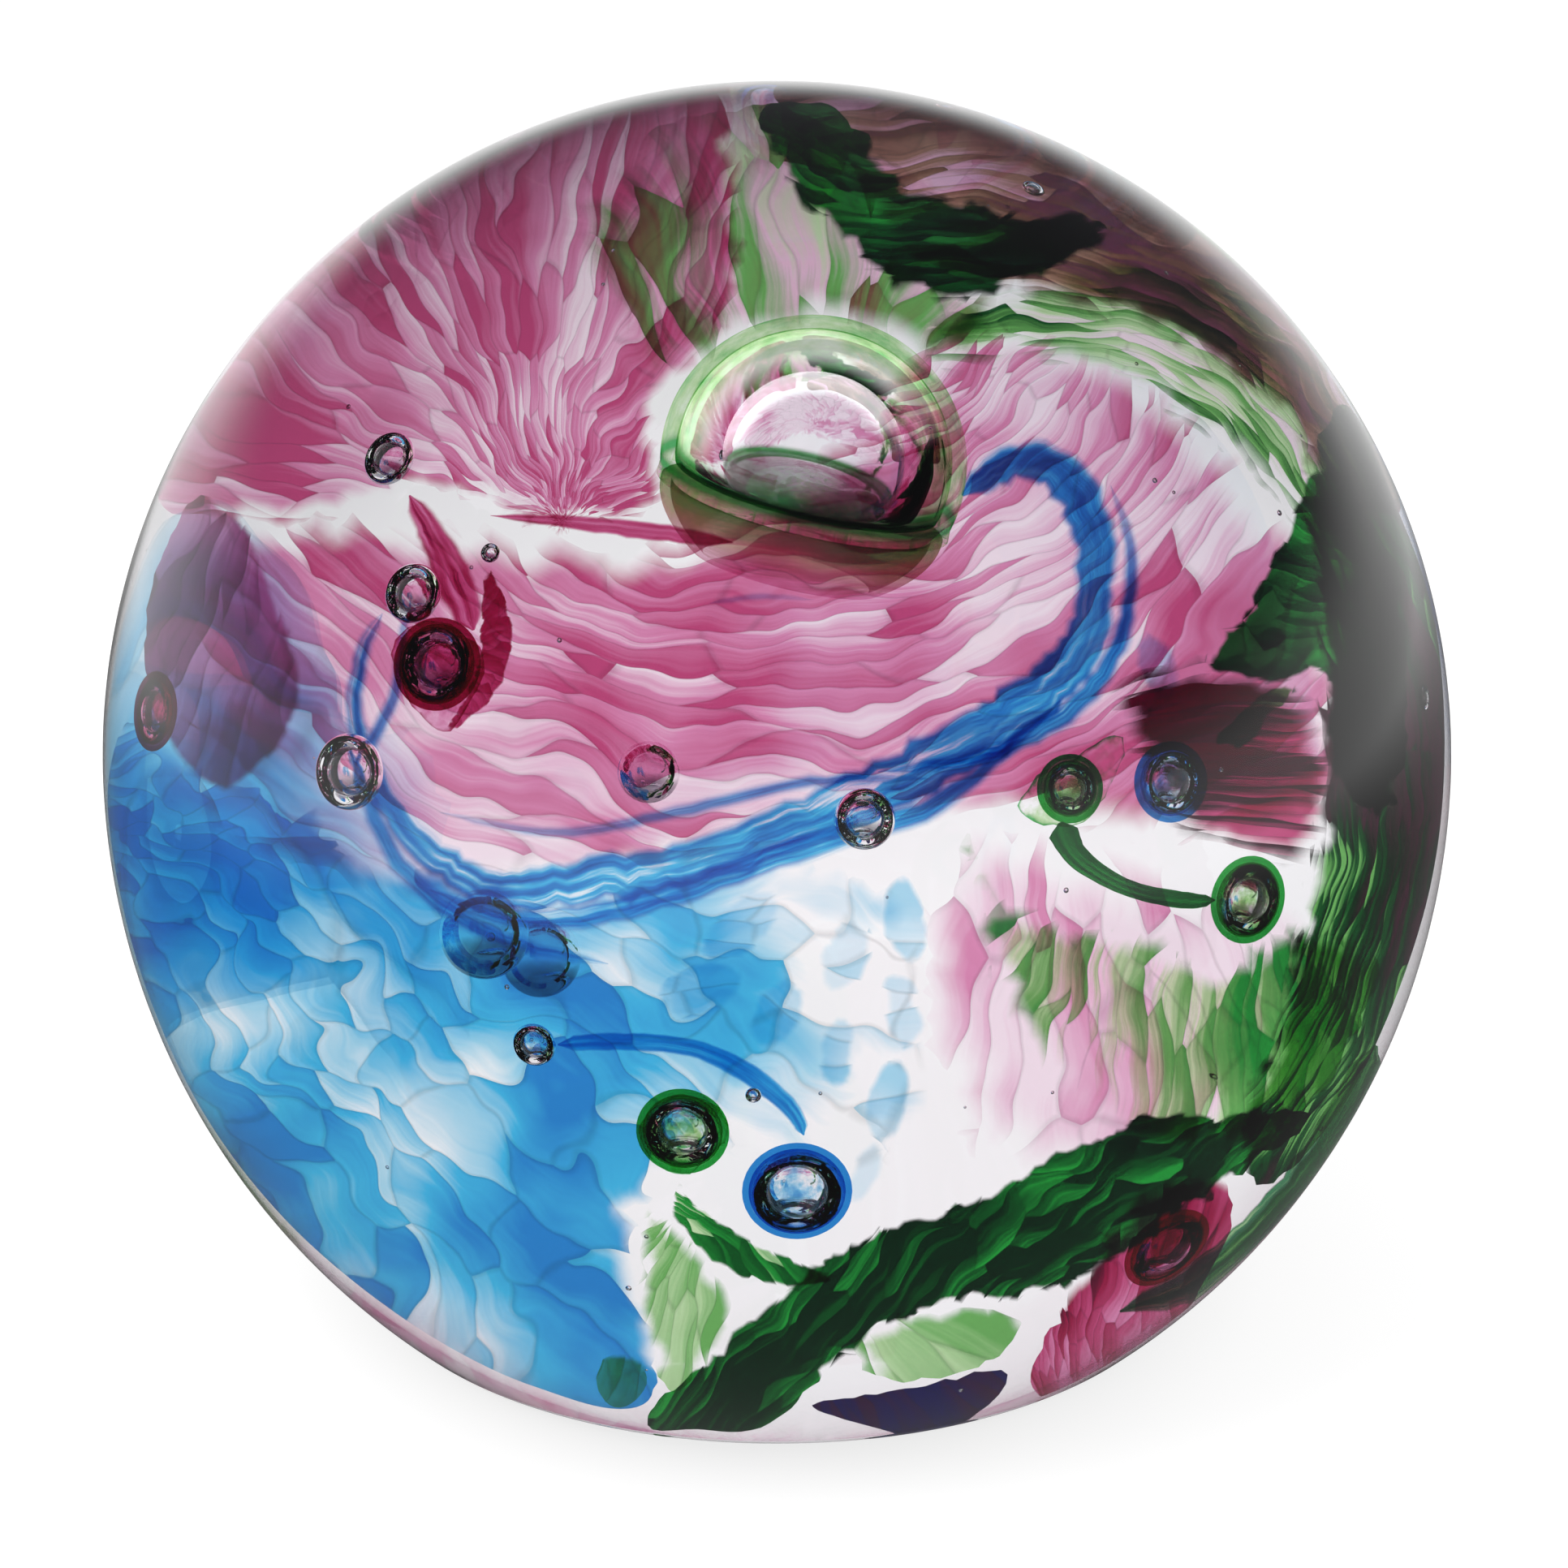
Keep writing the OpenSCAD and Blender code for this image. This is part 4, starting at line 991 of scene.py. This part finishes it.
class PAPERWEIGHT_OT_green(bpy.types.Operator):
    """Green sheets: the band, arc, mantle, wedge, shard, feathers, rope, leaf and pale petals"""

    bl_idname = "paperweight.green"
    bl_label = "Green sheets"

    def execute(self, context):
        bright = tuple(context.scene.paperweight_colour.green)
        dark = [(0.05, bright), (0.3, GREEN_DEEP), (0.6, GREEN_BLACK), (0.95, GREEN_BLACK)]
        band = petal_glass("Dark green band", dark, (14, 60), seam=90, spiral=80, across=50, along=9,
                           wobble=4, seed=31, fade=0.5)
        sheet_piece("green_band", band, "deep_green_glass", rag=0.9, seed=11)
        arc = petal_glass("Green arc strands",
                          [(0.1, ROSE_WHITE), (0.35, GREEN_PALE), (0.65, GREEN_MID), (0.95, GREEN_DEEP)],
                          (14, 6), seam=-90, spiral=88, across=40, along=4.5, wobble=4, seed=34, fade=1.4)
        sheet_piece("green_arc", arc, "green_glass", rag=0.9, seed=12)
        ridges = petal_glass("Green mantle",
                             [(0.1, GREEN_MID), (0.25, GREEN_DEEP), (0.5, GREEN_BLACK), (0.95, PLUM_DARK)],
                             (2, 0), seam=180, spiral=88, across=90, along=9, wobble=3, seed=37, fade=0.8)
        sheet_piece("green_mantle", ridges, "deep_green_glass", rag=1.0, seed=13)
        wedge = petal_glass("Green wedge", dark, (44, 6), seam=180, across=16, along=6, wobble=3, seed=40,
                            fade=0.3, cloud=1.4)
        sheet_piece("green_wedge", wedge, "deep_green_glass", rag=0.6, seed=14)
        shard = petal_glass("Green shard", [(0.2, GREEN_MID), (0.8, GREEN_DEEP)], (22, -2), seam=180,
                            across=10, seed=41, fade=0.2)
        sheet_piece("green_shard", shard, "green_glass", rag=0.3, seed=15, step=0.5)
        feather = petal_glass("Green feathers",
                              [(0.05, ROSE_WHITE), (0.25, GREEN_PALE), (0.5, GREEN_MID), (0.85, bright)],
                              (30, 16), seam=90, across=24, along=6, wobble=4, seed=44, fade=1.2)
        sheet_piece("green_feathers", feather, "green_glass", rag=1.0, seed=16)
        sash = strand_glass("Green sash", [(0.2, GREEN_MID), (0.5, GREEN_DEEP), (0.8, GREEN_BLACK)], seed=45,
                            soft=0.3)
        shape = add_trail(Shape(), ROUTES["green_sash"], DEPTHS["green_sash"], flat=0.2, rag=0.3, seed=5)
        finish_piece(shape.build("green_sash"), sash, "green_glass", "green_sash")
        rope = petal_glass("Green rope", [(0.1, GREEN_BRIGHT), (0.35, GREEN_DEEP), (0.6, GREEN_BLACK)],
                           (60, -90), seam=0, spiral=90, across=110, along=24, wobble=5, seed=87, fade=0.3,
                           cloud=0.6)
        sheet_piece("green_rope", rope, "deep_green_glass", thick=0.8, rag=0.7, seed=46, step=0.6)
        leaf = petal_glass("Green leaf", [(0.2, GREEN_PALE), (0.5, bright), (0.9, GREEN_DEEP)], (-8, -24),
                           across=14, along=3, seed=47, fade=0.25)
        sheet_piece("green_leaf", leaf, "green_glass", rag=0.25, seed=17, step=0.5)
        pale = petal_glass("Pale green petals", [(0.2, GREEN_PALE), (0.8, GREEN_MID)], (-4, -25), seam=90,
                           across=9, along=2, seed=50, fade=0.8)
        petals = [OUTLINES["pale_petal_left"], OUTLINES["pale_petal_right"], oval(-9, -36.8, 1.4, 1.5, 0)]
        sheet_piece("green_pale_petals", pale, "green_glass", petals, rag=0.5, seed=18, step=0.6)
        sweep = petal_glass("Rear green sweep", [(0.1, GREEN_PALE), (0.5, GREEN_MID), (0.9, GREEN_DEEP)],
                            (0, 0), seam=180, spiral=84, across=30, along=4, wobble=5, seed=53, fade=1.6,
                            clear=0.1)
        sheet_piece("rear_green_sweep", sweep, "green_glass", turn=180, rag=0.8, seed=19)
        return {"FINISHED"}


class PAPERWEIGHT_OT_blue(bpy.types.Operator):
    """Blue sheets: the field at the lower left, the oval petals and the one round the back"""

    bl_idname = "paperweight.blue"
    bl_label = "Blue sheets"

    def execute(self, context):
        stops = [(0.0, WHITE[:3]), (0.3, BLUE_PALE), (0.55, BLUE_SKY), (0.95, BLUE_MID)]
        field = petal_glass("Blue field", stops, (-50, 6), seam=180, across=16, along=8, wobble=10, seed=61,
                            fade=1.4, cloud=1.3, strand=0.4, paler=(-0.035, 0.0, -0.4))
        sheet_piece("blue_field", field, "blue_glass", rag=1.2, seed=21)
        pale = petal_glass("Pale blue petals", [(0.3, BLUE_WHITE), (0.7, BLUE_PALE)], (-20, -10), across=10,
                           seed=64, fade=0.5, strand=0.3)
        sheet_piece("blue_petals", pale, "pale_blue_glass", [oval(*p) for p in BLUE_PETALS], rag=0.3, seed=22,
                    step=0.6)
        light = [(0.1, BLUE_WHITE), (0.6, BLUE_PALE), (1.0, BLUE_SKY)]
        rear = petal_glass("Rear blue field", light, (40, 10), seam=180, across=16, along=5, wobble=6,
                           seed=67, fade=4)
        sheet_piece("rear_blue_field", rear, "blue_glass", turn=180, rag=1.0, seed=23)
        return {"FINISHED"}


class PAPERWEIGHT_OT_ruby(bpy.types.Operator):
    """Ruby sheets: the fold at the left, the leaf and the flare at the lower right"""

    bl_idname = "paperweight.ruby"
    bl_label = "Ruby sheets"

    def execute(self, context):
        deep = tuple(context.scene.paperweight_colour.ruby)
        stops = [(0.1, ROSE_MID), (0.45, ROSE_DEEP), (0.8, deep), (1.0, RUBY_DARK)]
        fold = petal_glass("Ruby fold", [(0.1, ROSE_MID), (0.4, PURPLE), (0.9, PLUM)], (-20, 40), seam=90,
                           across=24, along=6, seed=71, fade=0.5)
        sheet_piece("ruby_fold", fold, "ruby_glass", rag=0.4, seed=31)
        leaf = petal_glass("Ruby leaf", [(0.2, ROSE_DEEP), (0.7, deep)], (-20, 6), across=8, along=3, seed=74,
                           fade=0.15)
        sheet_piece("ruby_leaf", leaf, "ruby_glass", rag=0.25, seed=32, step=0.5)
        flare = petal_glass("Ruby flare", stops, (16, -42), seam=-90, across=16, along=4, seed=77, fade=0.8)
        sheet_piece("ruby_flare", flare, "ruby_glass", rag=0.6, seed=33)
        return {"FINISHED"}


class PAPERWEIGHT_OT_trails(bpy.types.Operator):
    """Drawn trails: the blue loop and stem, the green stem, the ruby ribbon and streak"""

    bl_idname = "paperweight.trails"
    bl_label = "Trails"

    def execute(self, context):
        colours = context.scene.paperweight_colour
        blue = [(0.15, BLUE_WHITE), (0.35, BLUE_SKY), (0.6, tuple(colours.blue)), (0.9, BLUE_DEEP)]
        ruby = [(0.1, ROSE_MID), (0.5, ROSE_DEEP), (0.8, tuple(colours.ruby)), (0.95, RUBY_DARK)]
        green = [(0.1, tuple(colours.green)), (0.5, GREEN_DEEP), (0.9, GREEN_BLACK)]
        plans = [
            ("blue_loop",
             strand_glass("Blue trail", blue, length=0.07, across=1.8, seed=81, soft=0.6, contrast=2.4),
             "blue_glass", 0.3, 0.12),
            ("blue_stem", strand_glass("Blue stem", blue, seed=84, soft=0.2), "blue_glass", 0.1, 0.25),
            ("green_stem", strand_glass("Green stem", green, seed=90), "green_glass", 0.1, 0.3),
            ("ruby_ribbon", strand_glass("Ruby ribbon", ruby, seed=93, soft=0.4, contrast=2.4), "ruby_glass",
             0.15, 0.2),
            ("ruby_streak", strand_glass("Ruby streak", ruby, seed=96, soft=0.2), "ruby_glass", 0.2, 0.3),
        ]
        for name, material, slot, rag, flat in plans:
            shape = add_trail(Shape(), ROUTES[name], DEPTHS[name], flat=flat, rag=rag, seed=len(name))
            for i, wisp in enumerate(WISPS.get(name, [])):
                add_trail(shape, wisp, DEPTHS[name] + 0.15, flat=0.1, rag=0.3, seed=len(name) + i + 1)
            finish_piece(shape.build(name), material, slot, name)
        return {"FINISHED"}


class PAPERWEIGHT_OT_skins(bpy.types.Operator):
    """Coloured skins round the pricked bubbles, with their thorn, ears and wings"""

    bl_idname = "paperweight.skins"
    bl_label = "Bubble skins"

    def execute(self, context):
        colours = {
            "ruby": skin_glass("Ruby skin", ROSE_PALE, ROSE_MID, RUBY, seed=1),
            "green": skin_glass("Green skin", WHITE[:3], GREEN_PALE, GREEN_BRIGHT, seed=2),
            "blue": skin_glass("Blue skin", WHITE[:3], BLUE_PALE, BLUE_MID, seed=3),
        }
        extra = {"green_thorn": (OUTLINES["green_thorn"], 7.4), "green_bud_skin": (GREEN_BUD_EARS, 7.5),
                 "ruby_bubble_skin": (RUBY_WINGS, 8.0)}
        for name, (u, v, depth, r) in SKINNED_BUBBLES.items():
            shape = Shape()
            place = facing(seen([[u, v]], depth)[0])
            shape.add(*turned(round_profile(r + SKIN_T), BUBBLE_AROUND, place))
            shape.add(*turned(round_profile(r + 0.08), BUBBLE_AROUND, place), flip=True)
            if name in extra:
                outline, low = extra[name]
                add_sheet(shape, outline, low, rag=0.3, seed=41, step=0.5)
            family = name.split("_")[0]
            slot = "deep_green_glass" if name == "green_thorn" else family + "_glass"
            finish_piece(shape.build(name), colours[family], slot, name)
        return {"FINISHED"}


class PAPERWEIGHT_OT_crown(bpy.types.Operator):
    """Green skin over the crown bubble, its dark rim and mottled floor, and the plum skirt below it"""

    bl_idname = "paperweight.crown"
    bl_label = "Dome bubble"

    def execute(self, context):
        frame_at = crown_frame()
        rim_w = math.asin(CROWN_FLOOR / CROWN_R)
        outer = CROWN_R + CROWN_SKIN_T
        low = CROWN_FLOOR - CROWN_SKIN_UNDER
        profile = [(outer * 0.97 * i / CROWN_FLOOR_STEPS, low) for i in range(CROWN_FLOOR_STEPS + 1)]
        for i in range(CROWN_DOME_STEPS + 1):
            w = rim_w + (math.pi / 2 - rim_w) * i / CROWN_DOME_STEPS
            profile.append((outer * math.cos(w) if i < CROWN_DOME_STEPS else 0, outer * math.sin(w)))
        inner = [(r * 1.012, z * 1.012 + (-0.05 if z < 0 else 0.0)) for r, z in crown_void()]
        shape = Shape()
        for outline, flip in ((profile, False), (inner, True)):
            points, faces = turned(outline, CROWN_AROUND)
            height = points[:, 2] - CROWN_FLOOR
            shape.add([frame_at @ Vector(p) for p in points], faces, points, height, flip=flip)
        finish_piece(shape.build("crown_bubble_skin"), crown_glass("Dome skin"), "green_glass",
                     "crown_bubble_skin")
        top = CROWN_FLOOR - 0.8
        bowl = [(CROWN_R + 0.3 - 2.2 * (i / 12) ** 2, top - 3 * i / 12) for i in range(13)]
        lining = [(r - 0.5, z) for r, z in bowl]
        skirt = Shape()
        points, faces = turned(lining + list(reversed(bowl)) + [lining[0]], CROWN_AROUND)
        skirt.add([frame_at @ Vector(p) for p in points], faces, points, points[:, 2] - top)
        finish_piece(skirt.build("crown_skirt"), skirt_glass("Dome skirt"), "plum_glass", "crown_skirt")
        return {"FINISHED"}


# ---------- the stage ----------


class PAPERWEIGHT_OT_stage(bpy.types.Operator):
    """Pale floor, white surround, soft lamps and the camera"""

    bl_idname = "paperweight.stage"
    bl_label = "Stage"

    def execute(self, context):
        scene = context.scene
        scene.view_settings.view_transform = "Standard"
        scene.cycles.max_bounces = 64
        scene.cycles.transmission_bounces = 64
        scene.cycles.glossy_bounces = 16
        scene.cycles.transparent_max_bounces = 32
        scene.cycles.caustics_reflective = False
        scene.cycles.caustics_refractive = False
        self.floor()
        self.surround(scene)
        self.lamps(scene)
        self.camera(scene)
        return {"FINISHED"}

    def floor(self):
        reach = 3.0
        mesh = bpy.data.meshes.new("floor")
        corners = [(-reach, -reach), (reach, -reach), (reach, reach), (-reach, reach)]
        mesh.from_pydata([(x, y, -0.2 * MM) for x, y in corners], [], [(0, 1, 2, 3)])
        floor = bpy.data.objects.new("floor", mesh)
        bpy.context.scene.collection.objects.link(floor)
        material = bpy.data.materials.new("Pale floor")
        material.use_nodes = True
        web = Web(material.node_tree)
        material.node_tree.nodes.remove(material.node_tree.nodes["Principled BSDF"])
        path = web.add("ShaderNodeLightPath").outputs
        matt = web.add("ShaderNodeBsdfDiffuse", {"Color": (0.3, 0.3, 0.3, 1)}).outputs[0]
        glow = web.add("ShaderNodeEmission", {"Color": WHITE, "Strength": 0.8}).outputs[0]
        shown = web.add("ShaderNodeAddShader", {0: matt, 1: glow}).outputs[0]
        place = web.add("ShaderNodeTexCoord").outputs["Object"]
        away = web.vector("LENGTH", place)
        # Painted shadow seen through the glass: the floor is grey under the ball and fades to white by 0.1 m
        under = web.mix(web.smooth(away, 0.02, 0.1), (0.3, 0.3, 0.32, 1), WHITE)
        painted_shade_seen_through = web.add("ShaderNodeEmission", {"Color": under, "Strength": 1.0}).outputs[0]
        bounce = web.add("ShaderNodeBsdfDiffuse", {"Color": (0.8, 0.8, 0.8, 1)}).outputs[0]
        # Painted shade in the glass's reflections: the floor is dark grey under the ball and fades to white
        # by 0.35 m
        painted_light = web.mix(web.smooth(away, 0.1, 0.35), (0.12, 0.12, 0.12, 1), WHITE)
        mirrored = web.add("ShaderNodeEmission", {"Color": painted_light, "Strength": 1.0}).outputs[0]
        other = web.add("ShaderNodeMixShader", {0: path["Is Glossy Ray"], 1: bounce, 2: mirrored}).outputs[0]
        other = web.add("ShaderNodeMixShader",
                        {0: path["Is Transmission Ray"], 1: other, 2: painted_shade_seen_through}).outputs[0]
        both = web.add("ShaderNodeMixShader", {0: path["Is Camera Ray"], 1: other, 2: shown}).outputs[0]
        web.put(material.node_tree.nodes["Material Output"].inputs["Surface"], both)
        mesh.materials.append(material)

    def surround(self, scene):
        world = bpy.data.worlds.new("Surround")
        world.use_nodes = True
        scene.world = world
        web = Web(world.node_tree)
        back = world.node_tree.nodes["Background"]
        path = web.add("ShaderNodeLightPath").outputs
        way = web.add("ShaderNodeTexCoord").outputs["Generated"]
        height = web.add("ShaderNodeSeparateXYZ", {0: way}).outputs[2]
        ceiling = web.smooth(height, 0.6, 1.0)
        seen_through = web.mix(ceiling, (1, 1, 1, 1), (0.85, 0.86, 0.88, 1))
        mirrored = web.mix(web.smooth(height, 0.0, 0.3), (1, 1, 1, 1), (0.1, 0.1, 0.11, 1))
        glass = web.mix(path["Is Transmission Ray"], mirrored, seen_through)
        soft = web.mix(path["Is Diffuse Ray"], glass, (0.7, 0.7, 0.7, 1))
        web.put(back.inputs["Color"], web.mix(path["Is Camera Ray"], soft, (1, 1, 1, 1)))
        back.inputs["Strength"].default_value = 1.0

    def lamps(self, scene):
        for name, place, size, watts in (
            ("key", (-0.35, -0.25, 0.55), 0.4, 3.0), ("fill", (0.45, -0.1, 0.5), 0.5, 1.6)
        ):
            lamp = bpy.data.lights.new(name, "AREA")
            lamp.size, lamp.energy = size, watts
            obj = bpy.data.objects.new(name, lamp)
            obj.location = place
            obj.rotation_euler = (Vector((0, 0, 0.03)) - Vector(place)).to_track_quat("-Z", "Y").to_euler()
            obj.visible_transmission = False
            obj.visible_glossy = False
            scene.collection.objects.link(obj)

    def camera(self, scene):
        data = bpy.data.cameras.new("camera")
        data.sensor_width = 36.0
        data.lens = 91.6
        data.shift_x, data.shift_y = 0.0045, -0.0185
        data.clip_start = 0.01
        camera = bpy.data.objects.new("camera", data)
        middle = Vector(BELLY * MM)
        toward = Vector((0, -math.cos(LOOK_DOWN), math.sin(LOOK_DOWN)))
        camera.location = middle + toward * EYE_FAR * MM
        camera.rotation_euler = (-toward).to_track_quat("-Z", "Y").to_euler()
        scene.collection.objects.link(camera)
        scene.camera = camera


class PAPERWEIGHT_PT_panel(bpy.types.Panel):
    """Settings and pieces of the paperweight"""

    bl_idname = "PAPERWEIGHT_PT_panel"
    bl_label = "Paperweight"
    bl_space_type = "VIEW_3D"
    bl_region_type = "UI"
    bl_category = "Paperweight"

    def draw(self, context):
        for owner, names in (
            (context.scene.paperweight_crystal, ("index", "around", "seeds", "seed_size")),
            (context.scene.paperweight_colour, ("rose", "green", "blue", "ruby")),
        ):
            for name in names:
                self.layout.prop(owner, name)
        for operator in OPERATORS:
            self.layout.operator(operator.bl_idname)


OPERATORS = (
    PAPERWEIGHT_OT_crystal, PAPERWEIGHT_OT_rose, PAPERWEIGHT_OT_plum, PAPERWEIGHT_OT_green,
    PAPERWEIGHT_OT_blue, PAPERWEIGHT_OT_ruby, PAPERWEIGHT_OT_trails, PAPERWEIGHT_OT_skins,
    PAPERWEIGHT_OT_crown, PAPERWEIGHT_OT_stage,
)
CLASSES = (CrystalSettings, ColourSettings, *OPERATORS, PAPERWEIGHT_PT_panel)


def register():
    for cls in CLASSES:
        bpy.utils.register_class(cls)
    bpy.types.Scene.paperweight_crystal = bpy.props.PointerProperty(type=CrystalSettings)
    bpy.types.Scene.paperweight_colour = bpy.props.PointerProperty(type=ColourSettings)


def unregister():
    del bpy.types.Scene.paperweight_colour
    del bpy.types.Scene.paperweight_crystal
    for cls in reversed(CLASSES):
        bpy.utils.unregister_class(cls)


def main():
    register()
    for operator in OPERATORS:
        getattr(bpy.ops.paperweight, operator.bl_idname.split(".")[1])()


if __name__ == "__main__":
    main()
